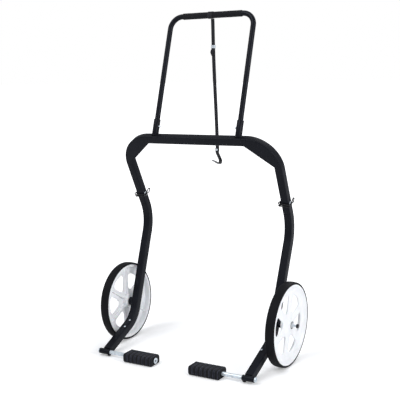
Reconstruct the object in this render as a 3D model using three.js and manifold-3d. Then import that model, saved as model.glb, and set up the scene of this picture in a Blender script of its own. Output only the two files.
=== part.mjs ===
// Two-wheeled hand trolley: a raked tubular frame with two lifting pegs at the foot,
// a hooped push handle in clamp sockets and a hook strap hanging from the grip.
// Millimetres, +Z up, -Y is the front (the load side), X is the width.
import * as THREE from "three";
import { mergeVertices } from "three/addons/utils/BufferGeometryUtils.js";
import ManifoldModule from "manifold-3d";

// ---------------------------------------------------------------- driving sizes
const GAP = 0.3; // clearance between pieces that touch
const RUN = 0.4; // clearance round a piece that slides or turns
const SIDES = [[-1, "left"], [1, "right"]];

const TUBE = 30; // square frame tube, outside
const TUBE_WALL = 2;
const TUBE_CORNER = 3;

const WHEEL_RADIUS = 157.5;
const TYRE_WIDTH = 35.3;
const TYRE_DEPTH = 8.6; // radial
const LEG_TO_TYRE = 15.5; // from the leg's outer face to the tyre's inner face
const AXLE_RADIUS = 4.5;
const AXLE_REACH = 27; // the axle's end beyond the tyre's outer face
const CAP_RADIUS = 8;
const CAP_LENGTH = 7;
const SPOKE_TURN = { left: THREE.MathUtils.degToRad(28), right: THREE.MathUtils.degToRad(20) };

const FOOT_TRACK = 305.7; // half distance between the legs at floor level
const SPLAY = THREE.MathUtils.degToRad(1.38); // legs and wheels lean out going up
const FOOT_ANGLE = THREE.MathUtils.degToRad(23.5); // foot above the floor
const RAKE = THREE.MathUtils.degToRad(21.2); // lower leg back from upright
const TILT = THREE.MathUtils.degToRad(25); // upper frame forward from upright
const AXLE_OFFSET = 3; // the axle sits behind the leg's centre line
const FOOT_RISE = 0.26; // the leg's foot end above the peg axis
const ELBOW_RADIUS = 110;
const ELBOW_BOLTS = [-26, 15]; // along the leg from the start of the elbow's bend
const BOLT_RADIUS = 2;
const BOLT_SHIFT = -7; // the bolts sit off the tube's centre, towards the middle
const KNEE_HEIGHT = 495;
const KNEE_RADIUS = 150;
const SEAM = 67; // from the knee's corner to the leg joint, along the upper leg
const SPIGOT = 92; // length of the lower leg's spigot inside the upper leg

const BAR_RISE = 300; // from the leg joint to the top bar's centre, along the upper leg
const CORNER_RADIUS = 126; // outer arc of the bent corners
const BRACE_REACH = 114; // from the leg joint's centre in to the top of the corner's slope
const BRACE_DOWN = 84; // how far that slope falls along the upper leg

const HANDLE_INSET = 139.6; // from the leg joint's centre in to the handle tube's centre
const HANDLE_TUBE = 20;
const HANDLE_WALL = 1.5;
const HANDLE_LEAN = THREE.MathUtils.degToRad(18);
const HANDLE_LENGTH = 483.5; // from the bar's centre to the grip's centre, along the lean
const HANDLE_BEND = 48;
const SOCKET_WALL = 2.3;
const SOCKET_LENGTH = 75; // from the bar's centre
const HANDLE_FOOT = 8; // from the bar's face to the handle tube's lower end
const GRIP_THICK = 2; // foam over the handle tube
const GRIP_MARGIN = 4.5; // from the grip's end to the handle's bend
const LOOP_HALF = 11; // half the bare length between the grips, under the strap's loop
const STRAP_SHIFT = -6; // the loop sits off the middle

const PEG_Y = -220; // peg axis in front of the axle
const PEG_RADIUS = 7.6;
const PEG_BORE = 4.6;
const COLLAR_RADIUS = 10.6;
const COLLAR_LENGTH = 48;
const COLLAR_SHIFT = 3; // the collar reaches further outward than inward
const PAD_LENGTH = 125;
const PAD_WIDTH = 64;
const PAD_HEIGHT = 36;
const PAD_INNER = 80; // from the middle of the trolley to the pad
const PAD_RIBS = 7;

const PIN_RADIUS = 5;
const PIN_RISE = 40; // from the leg joint, along the upper leg
const WIRE = 3.4; // bail wire
const SCREW_RADIUS = 2.5; // clamp screws at the handle and the pegs

const STRAP_WIDTH = 15;
const STRAP_THICK = 2;
const HOOK_THICK = 3;

// ---------------------------------------------------------------- worked-out sizes
const PEG_Z = PAD_HEIGHT / 2;
const TYRE_IN = TUBE / 2 + LEG_TO_TYRE;
const TYRE_OUT = TYRE_IN + TYRE_WIDTH;
// along the splayed leg, so that the tyre's crown stands on the floor
const AXLE_Z = WHEEL_RADIUS + ((TYRE_IN + TYRE_OUT) / 2) * Math.tan(SPLAY);
const sideAt = (z) => FOOT_TRACK + Math.tan(SPLAY) * z;
const UPPER_SLOPE = Math.atan(Math.tan(SPLAY) * Math.cos(TILT));

// leg centre line in its own side plane: x is front to back, y is height
const onLeg = (z) => (z - AXLE_Z) * Math.tan(RAKE) - AXLE_OFFSET;
const KNEE = new THREE.Vector2(onLeg(KNEE_HEIGHT), KNEE_HEIGHT);
const FOOT_END = new THREE.Vector2(PEG_Y + COLLAR_RADIUS + 1.4, PEG_Z + FOOT_RISE);
// the elbow's corner is where the foot's line meets the raked line
const FOOT_SLOPE = Math.tan(FOOT_ANGLE);
const ELBOW_HEIGHT =
  (FOOT_END.y + (onLeg(0) - FOOT_END.x) * FOOT_SLOPE) / (1 - Math.tan(RAKE) * FOOT_SLOPE);
const ELBOW = new THREE.Vector2(onLeg(ELBOW_HEIGHT), ELBOW_HEIGHT);
const JOINT = new THREE.Vector2(KNEE.x - SEAM * Math.sin(TILT), KNEE.y + SEAM * Math.cos(TILT));

// the upper frame's plane: origin on the leg joint, x across, z up the frame
const JOINT_X = sideAt(JOINT.y);
const legX = (w) => JOINT_X + Math.tan(UPPER_SLOPE) * w;
const BRACE_ACROSS = JOINT_X - BRACE_REACH;

// the handle's tube and what fits round it
const HANDLE_HALF = JOINT_X - HANDLE_INSET;
const HANDLE_START = TUBE / 2 + HANDLE_FOOT;
const SOCKET_TUBE = HANDLE_TUBE + 2 * (RUN + SOCKET_WALL);
const GRIP_RADIUS = HANDLE_TUBE / 2 + GRIP_THICK;
const GRIP_HALF = HANDLE_HALF - HANDLE_BEND - GRIP_MARGIN;

// ---------------------------------------------------------------- materials
const finish = (color, roughness, metalness) =>
  new THREE.MeshStandardMaterial({ color, roughness, metalness });
const BLACK_STEEL = () => finish(0x1c1d21, 0.42, 0.3);
const BLACK_WIRE = () => finish(0x101114, 0.5, 0.3);
const ZINC = () => finish(0xc9d2da, 0.28, 0.95);
const FOAM = () => finish(0x222429, 0.9, 0);
const RUBBER = () => finish(0x17181b, 0.8, 0);
const WHITE_PLASTIC = () => finish(0xf2f3f5, 0.4, 0);
const GREY_PLASTIC = () => finish(0x9a9ea3, 0.5, 0);
const BLACK_PLASTIC = () => finish(0x0f1012, 0.4, 0);
const WEBBING = () => finish(0x0e0e10, 0.85, 0);

// ---------------------------------------------------------------- solid tools
const manifold = await ManifoldModule();
manifold.setup();
const { Manifold, Mesh } = manifold;

function toSolid(geometry) {
  const bare = new THREE.BufferGeometry();
  bare.setAttribute("position", geometry.getAttribute("position").clone());
  if (geometry.index) bare.setIndex(geometry.index.clone());
  const merged = mergeVertices(bare, 1e-4);
  return new Manifold(
    new Mesh({
      numProp: 3,
      vertProperties: new Float32Array(merged.getAttribute("position").array),
      triVerts: new Uint32Array(merged.index.array),
    }),
  );
}

function toGeometry(solid) {
  const mesh = solid.getMesh();
  const geometry = new THREE.BufferGeometry();
  geometry.setAttribute("position", new THREE.BufferAttribute(mesh.vertProperties, 3));
  geometry.setIndex(new THREE.BufferAttribute(mesh.triVerts, 1));
  const flat = geometry.toNonIndexed();
  flat.computeVertexNormals();
  return flat;
}

function cut(base, ...tools) {
  let solid = toSolid(base);
  for (const tool of tools) solid = solid.subtract(toSolid(tool));
  return toGeometry(solid);
}

function join(...pieces) {
  let solid = toSolid(pieces[0]);
  for (const piece of pieces.slice(1)) solid = solid.add(toSolid(piece));
  return toGeometry(solid);
}

// a cylinder along X from x0 to x1
function barX(radius, x0, x1, segments = 24) {
  const geometry = new THREE.CylinderGeometry(radius, radius, x1 - x0, segments);
  geometry.rotateZ(-Math.PI / 2);
  geometry.translate((x0 + x1) / 2, 0, 0);
  return geometry;
}

// a cylinder along Z from z0 to z1
function barZ(radius, z0, z1, segments = 24) {
  const geometry = new THREE.CylinderGeometry(radius, radius, z1 - z0, segments);
  geometry.rotateX(Math.PI / 2);
  geometry.translate(0, 0, (z0 + z1) / 2);
  return geometry;
}

// a box given by its middle in x and y, and its two ends in z
function boxZ(wide, deep, z0, z1) {
  const geometry = new THREE.BoxGeometry(wide, deep, z1 - z0);
  geometry.translate(0, 0, (z0 + z1) / 2);
  return geometry;
}

// a turned ring or disc about X: the outline's points are [radius, x]
function turnX(outline, segments = 48) {
  const points = outline.map(([radius, x]) => new THREE.Vector2(radius, x));
  const geometry = new THREE.LatheGeometry(points, segments);
  geometry.rotateZ(-Math.PI / 2);
  return geometry;
}

function roundedRectangle(wide, high, radius) {
  const x = wide / 2 - radius;
  const y = high / 2 - radius;
  const shape = new THREE.Shape();
  shape.absarc(x, y, radius, 0, Math.PI / 2);
  shape.absarc(-x, y, radius, Math.PI / 2, Math.PI);
  shape.absarc(-x, -y, radius, Math.PI, 1.5 * Math.PI);
  shape.absarc(x, -y, radius, 1.5 * Math.PI, 2 * Math.PI);
  shape.closePath();
  return shape;
}

function rectangle(wide, high) {
  const [x, y] = [wide / 2, high / 2];
  const corners = [[x, y], [-x, y], [-x, -y], [x, -y]];
  return new THREE.Shape(corners.map((corner) => new THREE.Vector2(...corner)));
}

function circle(radius) {
  const shape = new THREE.Shape();
  shape.absarc(0, 0, radius, 0, 2 * Math.PI);
  return shape;
}

// A bent tube's centre line: straight runs between corners rounded to a radius. One step
// covers a straight run and bendSteps cover a bend.
class BentRoute extends THREE.Curve {
  constructor(corners, radius, bendSteps) {
    super();
    const radii = Array.isArray(radius) ? radius : corners.map(() => radius);
    this.stations = [corners[0]];
    this.bends = [];
    for (let i = 1; i < corners.length - 1; i += 1) {
      this.addBend(corners[i - 1], corners[i], corners[i + 1], radii[i], bendSteps);
    }
    this.stations.push(corners[corners.length - 1]);
    this.steps = this.stations.length - 1;
  }

  addBend(before, corner, after, radius, bendSteps) {
    const into = corner.clone().sub(before).normalize();
    const out = after.clone().sub(corner).normalize();
    const turn = into.angleTo(out);
    const reach = radius * Math.tan(turn / 2);
    const start = corner.clone().addScaledVector(into, -reach);
    const side = out.clone().addScaledVector(into, -out.dot(into)).normalize();
    for (let i = 0; i <= bendSteps; i += 1) {
      const angle = (turn * i) / bendSteps;
      const point = start.clone().addScaledVector(into, radius * Math.sin(angle));
      this.stations.push(point.addScaledVector(side, radius * (1 - Math.cos(angle))));
    }
  }

  getPoint(t) {
    const place = Math.min(Math.max(t, 0), 1) * this.steps;
    const index = Math.min(Math.floor(place), this.steps - 1);
    return this.stations[index].clone().lerp(this.stations[index + 1], place - index);
  }

  getPointAt(u) {
    return this.getPoint(u);
  }

  getTangentAt(u) {
    const index = Math.round(u * this.steps);
    const here = this.stations[index];
    const before = this.stations[Math.max(index - 1, 0)];
    const after = this.stations[Math.min(index + 1, this.steps)];
    const into = here.clone().sub(before).normalize();
    const out = after.clone().sub(here).normalize();
    return into.add(out).normalize();
  }
}

function sweep(shape, route, curveSegments = 2) {
  return new THREE.ExtrudeGeometry(shape, {
    steps: route.steps,
    extrudePath: route,
    curveSegments,
    bevelEnabled: false,
  });
}

// ---------------------------------------------------------------- scene
const trolley = new THREE.Group();

function place(parent, name, geometry, material) {
  const mesh = new THREE.Mesh(geometry, material);
  mesh.name = name;
  parent.add(mesh);
}

const inPlane = (point) => new THREE.Vector3(0, point.x, point.y);

// ---------------------------------------------------------------- lower leg
const upperWay = new THREE.Vector2(-Math.sin(TILT), Math.cos(TILT));
const alongUpper = (length) => JOINT.clone().addScaledVector(upperWay, length);

function legRoute(extra) {
  const foot = FOOT_END.clone().sub(ELBOW).normalize();
  const start = FOOT_END.clone().addScaledVector(foot, extra);
  const corners = [start, ELBOW, KNEE, alongUpper(extra)].map(inPlane);
  return new BentRoute(corners, [0, ELBOW_RADIUS, KNEE_RADIUS, 0], 8);
}

// pieces of the leg joint stand in a frame at the joint with z up the upper leg
function atJoint(geometry) {
  geometry.rotateX(TILT);
  geometry.translate(0, JOINT.x, JOINT.y);
  return geometry;
}

const SPIGOT_SIDE = TUBE - 2 * TUBE_WALL - 2 * RUN;

// The front of the elbow: a frame on the leg's centre line, with z out of the front face.
// Places are measured along the leg from the start of the bend.
function atElbow(geometry, length) {
  const turn = Math.max(length, 0) / ELBOW_RADIUS;
  const reach = ELBOW_RADIUS * Math.tan((Math.PI / 2 - RAKE - FOOT_ANGLE) / 2);
  const straight = new THREE.Vector2(Math.cos(FOOT_ANGLE), Math.sin(FOOT_ANGLE));
  const across = new THREE.Vector2(-straight.y, straight.x);
  const spot = ELBOW.clone()
    .addScaledVector(straight, Math.min(length, 0) + ELBOW_RADIUS * Math.sin(turn) - reach)
    .addScaledVector(across, ELBOW_RADIUS * (1 - Math.cos(turn)));
  return geometry.rotateX(FOOT_ANGLE + turn).translate(0, spot.x, spot.y);
}

function elbowBolt(length) {
  const shank = barZ(BOLT_RADIUS, TUBE / 2 - TUBE_WALL - 2, TUBE / 2 + 1, 14);
  const head = barZ(3.6, TUBE / 2 + GAP, TUBE / 2 + 2.6, 16);
  return atElbow(join(shank, head).translate(BOLT_SHIFT, 0, 0), length);
}

function lowerLeg() {
  const skin = sweep(roundedRectangle(TUBE, TUBE, TUBE_CORNER), legRoute(0), 1);
  const bore = sweep(rectangle(TUBE - 2 * TUBE_WALL, TUBE - 2 * TUBE_WALL), legRoute(-8));
  const spigot = atJoint(boxZ(SPIGOT_SIDE, SPIGOT_SIDE, -4, SPIGOT));
  const channel = atJoint(boxZ(SPIGOT_SIDE - 5, SPIGOT_SIDE - 5, -12, SPIGOT + 1));
  const pinHole = atJoint(barX(PIN_RADIUS + RUN, -TUBE, TUBE).translate(0, 0, PIN_RISE));
  const axleHole = barX(AXLE_RADIUS + GAP, 0, TUBE).translate(0, 0, AXLE_Z);
  const collarSeat = barX(COLLAR_RADIUS + GAP, -TUBE, TUBE, 32).translate(0, PEG_Y, PEG_Z);
  const boltHoles = ELBOW_BOLTS.map((length) =>
    atElbow(barZ(BOLT_RADIUS + GAP, 0, TUBE, 14).translate(BOLT_SHIFT, 0, 0), length),
  );
  return cut(join(skin, spigot), bore, channel, pinHole, axleHole, collarSeat, ...boltHoles);
}

// ---------------------------------------------------------------- wheels
const RIM_RADIUS = WHEEL_RADIUS - TYRE_DEPTH - GAP;
const RIM_WALL = 9;
const HUB_RADIUS = 24;
const BUSH_RADIUS = 13.5;
const SPOKES = 6;
const SPOKE_WIDTH = 35;
const OPENING_IN = 50;
const OPENING_OUT = 112;

function tyre() {
  const steps = 54;
  const inner = (RIM_RADIUS + GAP) / Math.cos(Math.PI / steps); // the flats clear the rim
  const shoulder = 5;
  const crown = 0.8;
  const outline = [[inner, TYRE_IN + 0.8]];
  for (const [centre, from] of [[TYRE_IN + shoulder, Math.PI], [TYRE_OUT - shoulder, Math.PI / 2]]) {
    for (let i = 0; i <= 3; i += 1) {
      const angle = from - (i * Math.PI) / 6;
      const radius = WHEEL_RADIUS - crown - shoulder + shoulder * Math.sin(angle);
      outline.push([radius, centre + shoulder * Math.cos(angle)]);
    }
    if (from > 2) outline.push([WHEEL_RADIUS, (TYRE_IN + TYRE_OUT) / 2]);
  }
  outline.push([inner, TYRE_OUT - 0.8]);
  outline.push(outline[0]);
  return turnX(outline, steps);
}

function spokeOpening(middle) {
  const shape = new THREE.Shape();
  const half = Math.PI / SPOKES;
  const spread = (radius) => half - Math.asin(SPOKE_WIDTH / 2 / radius);
  shape.absarc(0, 0, OPENING_OUT, middle - spread(OPENING_OUT), middle + spread(OPENING_OUT));
  shape.absarc(0, 0, OPENING_IN, middle + spread(OPENING_IN), middle - spread(OPENING_IN), true);
  shape.closePath();
  const geometry = new THREE.ExtrudeGeometry(shape, {
    depth: 80,
    curveSegments: 2,
    bevelEnabled: false,
  });
  geometry.rotateY(Math.PI / 2);
  return geometry;
}

function wheelHub() {
  const rimIn = RIM_RADIUS - RIM_WALL;
  const outline = [
    [BUSH_RADIUS + GAP, TYRE_IN + 1],
    [HUB_RADIUS, TYRE_IN + 1],
    [HUB_RADIUS + 3, TYRE_OUT - 17],
    [rimIn, TYRE_OUT - 12],
    [rimIn, TYRE_IN + 0.6],
    [RIM_RADIUS, TYRE_IN + 0.6],
    [RIM_RADIUS, TYRE_OUT - 0.6],
    [rimIn + 3, TYRE_OUT - 0.6],
    [rimIn - 4, TYRE_OUT - 6],
    [HUB_RADIUS + 18, TYRE_OUT - 11],
    [HUB_RADIUS + 2, TYRE_OUT - 4],
    [HUB_RADIUS - 2, TYRE_OUT + 1.5],
    [BUSH_RADIUS + GAP, TYRE_OUT + 1.5],
    [BUSH_RADIUS + GAP, TYRE_IN + 1],
  ];
  const pieces = [turnX(outline, 48)];
  const openings = [];
  for (let i = 0; i < SPOKES; i += 1) {
    const angle = (2 * Math.PI * i) / SPOKES;
    const rib = new THREE.BoxGeometry(15, rimIn + 2 - HUB_RADIUS, 3);
    rib.translate(TYRE_OUT - 18.5, (rimIn + 2 + HUB_RADIUS) / 2, 0);
    rib.rotateX(angle);
    pieces.push(rib);
    openings.push(spokeOpening(angle + Math.PI / SPOKES + Math.PI / 2));
  }
  return cut(join(...pieces), ...openings);
}

function hubBush() {
  return turnX(
    [
      [AXLE_RADIUS + RUN, TYRE_IN + 0.4],
      [BUSH_RADIUS, TYRE_IN + 0.4],
      [BUSH_RADIUS, TYRE_OUT + 2],
      [BUSH_RADIUS - 3, TYRE_OUT + 3.5],
      [AXLE_RADIUS + RUN, TYRE_OUT + 3.5],
      [AXLE_RADIUS + RUN, TYRE_IN + 0.4],
    ],
    32,
  );
}

function axleBoss() {
  const boss = barX(16.5, TUBE / 2 + GAP, TYRE_IN - 0.6, 32);
  return cut(boss, barX(AXLE_RADIUS + GAP, 0, TYRE_IN + 5));
}

const AXLE_END = TYRE_OUT + AXLE_REACH;

function axle() {
  return barX(AXLE_RADIUS, -TUBE / 2 + TUBE_WALL + 1, AXLE_END - 3);
}

function axleCap() {
  const start = AXLE_END - CAP_LENGTH;
  const outline = [
    [0, start],
    [CAP_RADIUS - 0.8, start],
    [CAP_RADIUS, start + 0.8],
    [CAP_RADIUS, AXLE_END - 2],
    [CAP_RADIUS - 2, AXLE_END],
    [0, AXLE_END],
  ];
  return cut(turnX(outline, 28), barX(AXLE_RADIUS + GAP, 0, AXLE_END - 3 + GAP));
}

// ---------------------------------------------------------------- foot, peg and pad
// these stand in a frame on the peg axis, with x outward and its zero on the leg
const COLLAR_IN = COLLAR_SHIFT - COLLAR_LENGTH / 2;
const COLLAR_OUT = COLLAR_SHIFT + COLLAR_LENGTH / 2;
const PEG_SCREW_HEAD = 7;
const PEG_SCREW_X = COLLAR_IN + PEG_SCREW_HEAD;

function footCollar() {
  const tube = barX(COLLAR_RADIUS, COLLAR_IN, COLLAR_OUT, 32);
  const screwHole = barZ(SCREW_RADIUS + GAP, -COLLAR_RADIUS - 1, 0, 16);
  const bore = barX(PEG_RADIUS + RUN, COLLAR_IN - 1, COLLAR_OUT + 1, 32);
  return cut(tube, bore, screwHole.translate(PEG_SCREW_X, 0, 0));
}

function pegScrew() {
  const seat = -COLLAR_RADIUS - GAP;
  const head = barZ(PEG_SCREW_HEAD, seat - 3, seat, 20);
  return join(barZ(SCREW_RADIUS, seat - 1, -PEG_RADIUS - RUN, 16), head).translate(PEG_SCREW_X, 0, 0);
}

function pegRod(inner) {
  const rod = barX(PEG_RADIUS, inner, COLLAR_OUT + 5, 24);
  return cut(rod, barX(PEG_BORE, inner - 1, COLLAR_OUT + 6, 16));
}

function pegNut() {
  const nut = barX(9.5, COLLAR_OUT + GAP, COLLAR_OUT + 5, 24);
  return cut(nut, barX(PEG_RADIUS + GAP, COLLAR_OUT - 1, COLLAR_OUT + 6, 24));
}

function pegWasher(inner) {
  const washer = barX(11, inner - 3 - GAP, inner - GAP, 28);
  return cut(washer, barX(PEG_BORE + 0.4, inner - 5, inner + 1, 20));
}

function padSlice(grow, from, to) {
  const section = roundedRectangle(PAD_WIDTH + grow, PAD_HEIGHT + grow, 11 + grow / 2);
  const slice = new THREE.ExtrudeGeometry(section, {
    depth: to - from,
    curveSegments: 2,
    bevelEnabled: false,
  });
  slice.rotateX(Math.PI / 2);
  slice.rotateZ(Math.PI / 2);
  slice.translate(from, 0, 0);
  return slice;
}

function pegPad(inner) {
  const pitch = (PAD_LENGTH - 2) / PAD_RIBS;
  const ribs = [padSlice(-4, inner, inner + PAD_LENGTH)];
  for (let i = 0; i < PAD_RIBS; i += 1) {
    const from = inner + 1 + i * pitch + pitch * 0.16;
    ribs.push(padSlice(0, from, from + pitch * 0.68));
  }
  const bore = barX(PEG_RADIUS + GAP, inner - 1, inner + PAD_LENGTH + 1, 24);
  return cut(join(...ribs), bore);
}

// ---------------------------------------------------------------- upper frame
const BAR_LOW = BAR_RISE - TUBE / 2;
const BAR_TOP = BAR_RISE + TUBE / 2;
const BRACE_LOW = BAR_LOW - BRACE_DOWN;
const CORNER_EDGE = 3; // straight edge between the slope and each seam
const ARC_Z = BAR_TOP - CORNER_RADIUS;
const ARC_LOW = ARC_Z - CORNER_RADIUS * Math.sin(UPPER_SLOPE);
const CORNER_LOW = Math.min(BRACE_LOW, ARC_LOW) - CORNER_EDGE;
const CORNER_IN = BRACE_ACROSS - CORNER_EDGE;
const BORE_SIDE = TUBE - 2 * TUBE_WALL;

function squareTube(length) {
  const depth = { depth: length, curveSegments: 2, bevelEnabled: false };
  const skin = new THREE.ExtrudeGeometry(roundedRectangle(TUBE, TUBE, TUBE_CORNER), depth);
  return cut(skin, boxZ(BORE_SIDE, BORE_SIDE, -1, length + 1));
}

function upperLeg() {
  const slant = (TUBE / 2) * Math.tan(UPPER_SLOPE); // its square end meets a level seam
  const length = (CORNER_LOW - GAP) / Math.cos(UPPER_SLOPE) - slant - GAP;
  const tube = squareTube(length).translate(0, 0, GAP);
  return cut(tube, barX(PIN_RADIUS + RUN, -TUBE, TUBE).translate(0, 0, PIN_RISE));
}

function topBar() {
  const length = 2 * (CORNER_IN - GAP);
  const tube = squareTube(length).translate(0, 0, -length / 2);
  return tube.rotateY(Math.PI / 2).translate(0, 0, BAR_RISE);
}

// the corner's outline in the frame's plane; wall shrinks it and over lengthens its ends
function cornerOutline(side, wall, over) {
  const halfWide = TUBE / 2 / Math.cos(UPPER_SLOPE) - wall;
  const braceTurn = Math.atan2(BRACE_DOWN, legX(BRACE_LOW) - halfWide - BRACE_ACROSS);
  const radius = CORNER_RADIUS - wall;
  const centreX = legX(ARC_Z) + (TUBE / 2 - CORNER_RADIUS) / Math.cos(UPPER_SLOPE);
  const low = CORNER_LOW - over;
  const points = [
    [CORNER_IN - over, BAR_LOW + wall],
    [BRACE_ACROSS + wall * Math.tan(braceTurn / 2), BAR_LOW + wall],
    [legX(BRACE_LOW) - halfWide, BRACE_LOW + wall * Math.tan((Math.PI / 2 - braceTurn) / 2)],
    [legX(low) - halfWide, low],
    [legX(low) + halfWide, low],
  ];
  const steps = 14;
  for (let i = 0; i <= steps; i += 1) {
    const angle = -UPPER_SLOPE + ((Math.PI / 2 + UPPER_SLOPE) * i) / steps;
    points.push([centreX + radius * Math.cos(angle), ARC_Z + radius * Math.sin(angle)]);
  }
  points.push([CORNER_IN - over, BAR_TOP - wall]);
  return new THREE.Shape(points.map(([x, z]) => new THREE.Vector2(side * x, z)));
}

function corner(side) {
  const plate = (wall, over) => {
    const depth = TUBE - 2 * wall;
    const geometry = new THREE.ExtrudeGeometry(cornerOutline(side, wall, over), {
      depth,
      bevelEnabled: false,
    });
    return geometry.rotateX(Math.PI / 2).translate(0, depth / 2, 0);
  };
  return cut(plate(0, 0), plate(TUBE_WALL, 2));
}

// ---------------------------------------------------------------- lock pin and wires
// these stand in a frame on the pin's axis, with z up the leg and y to the rear
const HEAD_RADIUS = 6.6;
const HEAD_IN = -TUBE / 2 - 0.5;
const BAIL_X = HEAD_IN - 5;
const HEAD_OUT = BAIL_X - 5;
const PIN_TIP = TUBE / 2 + 2.2;
const EYELET_THICK = 1.6;
const ROOT_Z = HEAD_RADIUS + WIRE / 2 + 0.6; // the bail's arms at the head
const TIP_Z = WIRE / 2 + 0.4; // and where they cross the pin's tip

function lockPin() {
  const shank = barX(PIN_RADIUS, HEAD_IN - 1, PIN_TIP);
  const head = barX(HEAD_RADIUS, HEAD_OUT, HEAD_IN);
  return cut(join(shank, head), barZ(WIRE / 2 + RUN, -20, 20, 12).translate(BAIL_X, 0, 0));
}

function pinEyelet() {
  const face = TUBE / 2 + GAP;
  const ring = barX(9, face, face + EYELET_THICK, 28);
  return cut(ring, barX(PIN_RADIUS + RUN, 0, TUBE, 24));
}

// A closed wire loop through the pin's head, round the front of the leg and over the tip.
// Its two strands are given by their middle, half gap and lift above the pin's axis.
function wireBail() {
  const front = -TUBE / 2 - WIRE / 2 - 2.6;
  const side = TUBE / 2 + WIRE / 2 + 3.4;
  const arm = [
    [BAIL_X, 0, 4, 0],
    [BAIL_X, -0.6, ROOT_Z - 0.8, 0],
    [BAIL_X - 1, -4, ROOT_Z - 0.4, 0],
    [BAIL_X - 7, -12, 5.4, 0.5],
    [BAIL_X, front, 4.4, 1.5],
    [BAIL_X + 8, front, 4.4, 2],
    [0, front, 4.2, 2],
    [side - 7, front, 4, 1],
    [side, front + 7, TIP_Z + 1, 0],
    [side, -4, TIP_Z, 0],
    [side, 6, TIP_Z + 0.5, 1],
    [side, 17, TIP_Z + 4.5, 2.5],
    [side - 1, 26, TIP_Z + 2.5, 3.5],
  ];
  const upper = arm.map(([x, y, half, lift]) => new THREE.Vector3(x, y, lift + half));
  const lower = arm.map(([x, y, half, lift]) => new THREE.Vector3(x, y, lift - half)).reverse();
  const end = new THREE.Vector3(side - 1.5, 32, 4);
  const curve = new THREE.CatmullRomCurve3([...upper, end, ...lower], true, "catmullrom", 0.4);
  return new THREE.TubeGeometry(curve, 64, WIRE / 2, 6, true);
}

// ---------------------------------------------------------------- handle
// these stand in a frame on the top bar's centre, with z up the handle's lean
const SCREW_RISE = 48;

function handleSocket(side) {
  const tube = barZ(SOCKET_TUBE / 2, 0, SOCKET_LENGTH, 32);
  const bore = barZ(HANDLE_TUBE / 2 + RUN, -1, SOCKET_LENGTH + 1, 32);
  const bar = new THREE.BoxGeometry(2 * SOCKET_TUBE, TUBE + 2 * GAP, TUBE + 2 * GAP);
  bar.rotateX(TILT + HANDLE_LEAN);
  const screwHole = barX(SCREW_RADIUS + GAP, 0, SOCKET_TUBE, 16);
  screwHole.translate(side > 0 ? -SOCKET_TUBE : 0, 0, SCREW_RISE);
  return cut(tube, bore, bar, screwHole);
}

function clampScrew(side) {
  const tip = HANDLE_TUBE / 2 + RUN;
  const wall = SOCKET_TUBE / 2 + GAP;
  const screw = join(barX(SCREW_RADIUS, tip, wall + 1, 16), barX(4.6, wall, wall + 4.2, 6));
  if (side > 0) screw.rotateZ(Math.PI);
  return screw.translate(0, 0, SCREW_RISE);
}

function handleTube() {
  const corners = [
    new THREE.Vector3(-HANDLE_HALF, 0, HANDLE_START),
    new THREE.Vector3(-HANDLE_HALF, 0, HANDLE_LENGTH),
    new THREE.Vector3(HANDLE_HALF, 0, HANDLE_LENGTH),
    new THREE.Vector3(HANDLE_HALF, 0, HANDLE_START),
  ];
  const shape = circle(HANDLE_TUBE / 2);
  shape.holes.push(circle(HANDLE_TUBE / 2 - HANDLE_WALL));
  return sweep(shape, new BentRoute(corners, HANDLE_BEND, 6), 9);
}

function sleeveX(radius, x0, x1) {
  const bore = barX(HANDLE_TUBE / 2 + GAP + 0.2, x0 - 1, x1 + 1, 28);
  return cut(barX(radius, x0, x1, 28), bore).translate(0, 0, HANDLE_LENGTH);
}

// ---------------------------------------------------------------- strap and hook
const BAR_CENTRE = alongUpper(BAR_RISE);
const GRIP_CENTRE = new THREE.Vector2(
  BAR_CENTRE.x + HANDLE_LENGTH * Math.sin(HANDLE_LEAN),
  BAR_CENTRE.y + HANDLE_LENGTH * Math.cos(HANDLE_LEAN),
);
const LOOP_RADIUS = GRIP_RADIUS + 1.2;
const STRAP_POINTS = [
  [0, 124, 1273.6],
  [0, 124.4, 1262],
  [-0.2, 125, 1245],
  [-0.5, 125.7, 1225],
  [-0.8, 126.4, 1200],
  [-1, 127.1, 1170],
  [-1, 127.9, 1135],
  [-0.6, 128.7, 1095],
  [0.2, 129.5, 1050],
  [1.3, 130.3, 1000],
  [2.6, 131.1, 950],
  [3.7, 131.9, 900],
  [4.5, 132.6, 855],
  [5, 133.2, 815],
  [5.2, 133.6, 790],
  [5.3, 133.8, 768],
];
const BUCKLE_AT = STRAP_POINTS[5];
const BUCKLE_WALL = 1;

function strap() {
  const points = STRAP_POINTS.map((point) => new THREE.Vector3(...point));
  const route = new THREE.CatmullRomCurve3(points);
  return new THREE.ExtrudeGeometry(roundedRectangle(STRAP_WIDTH, STRAP_THICK, 0.8), {
    steps: 24,
    extrudePath: route,
    curveSegments: 1,
    bevelEnabled: false,
  });
}

function strapBuckle() {
  const wide = STRAP_WIDTH + 2 * RUN;
  const deep = STRAP_THICK + 2 * RUN;
  const ring = boxZ(wide + 2 * BUCKLE_WALL, deep + 2 * BUCKLE_WALL, -5.5, 5.5);
  return cut(ring, boxZ(wide, deep, -7, 7)).translate(...BUCKLE_AT);
}

const STRAP_END = STRAP_POINTS[STRAP_POINTS.length - 1];
const HOOK_X = STRAP_END[0];
const HOOK_Y = STRAP_END[1] - STRAP_THICK / 2 - 2 * GAP - HOOK_THICK / 2;
const HOOK_TOP = STRAP_END[2] + 15;
const RIVET_Z = STRAP_END[2] + 8;
const RIVET_RADIUS = 2;

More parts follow.
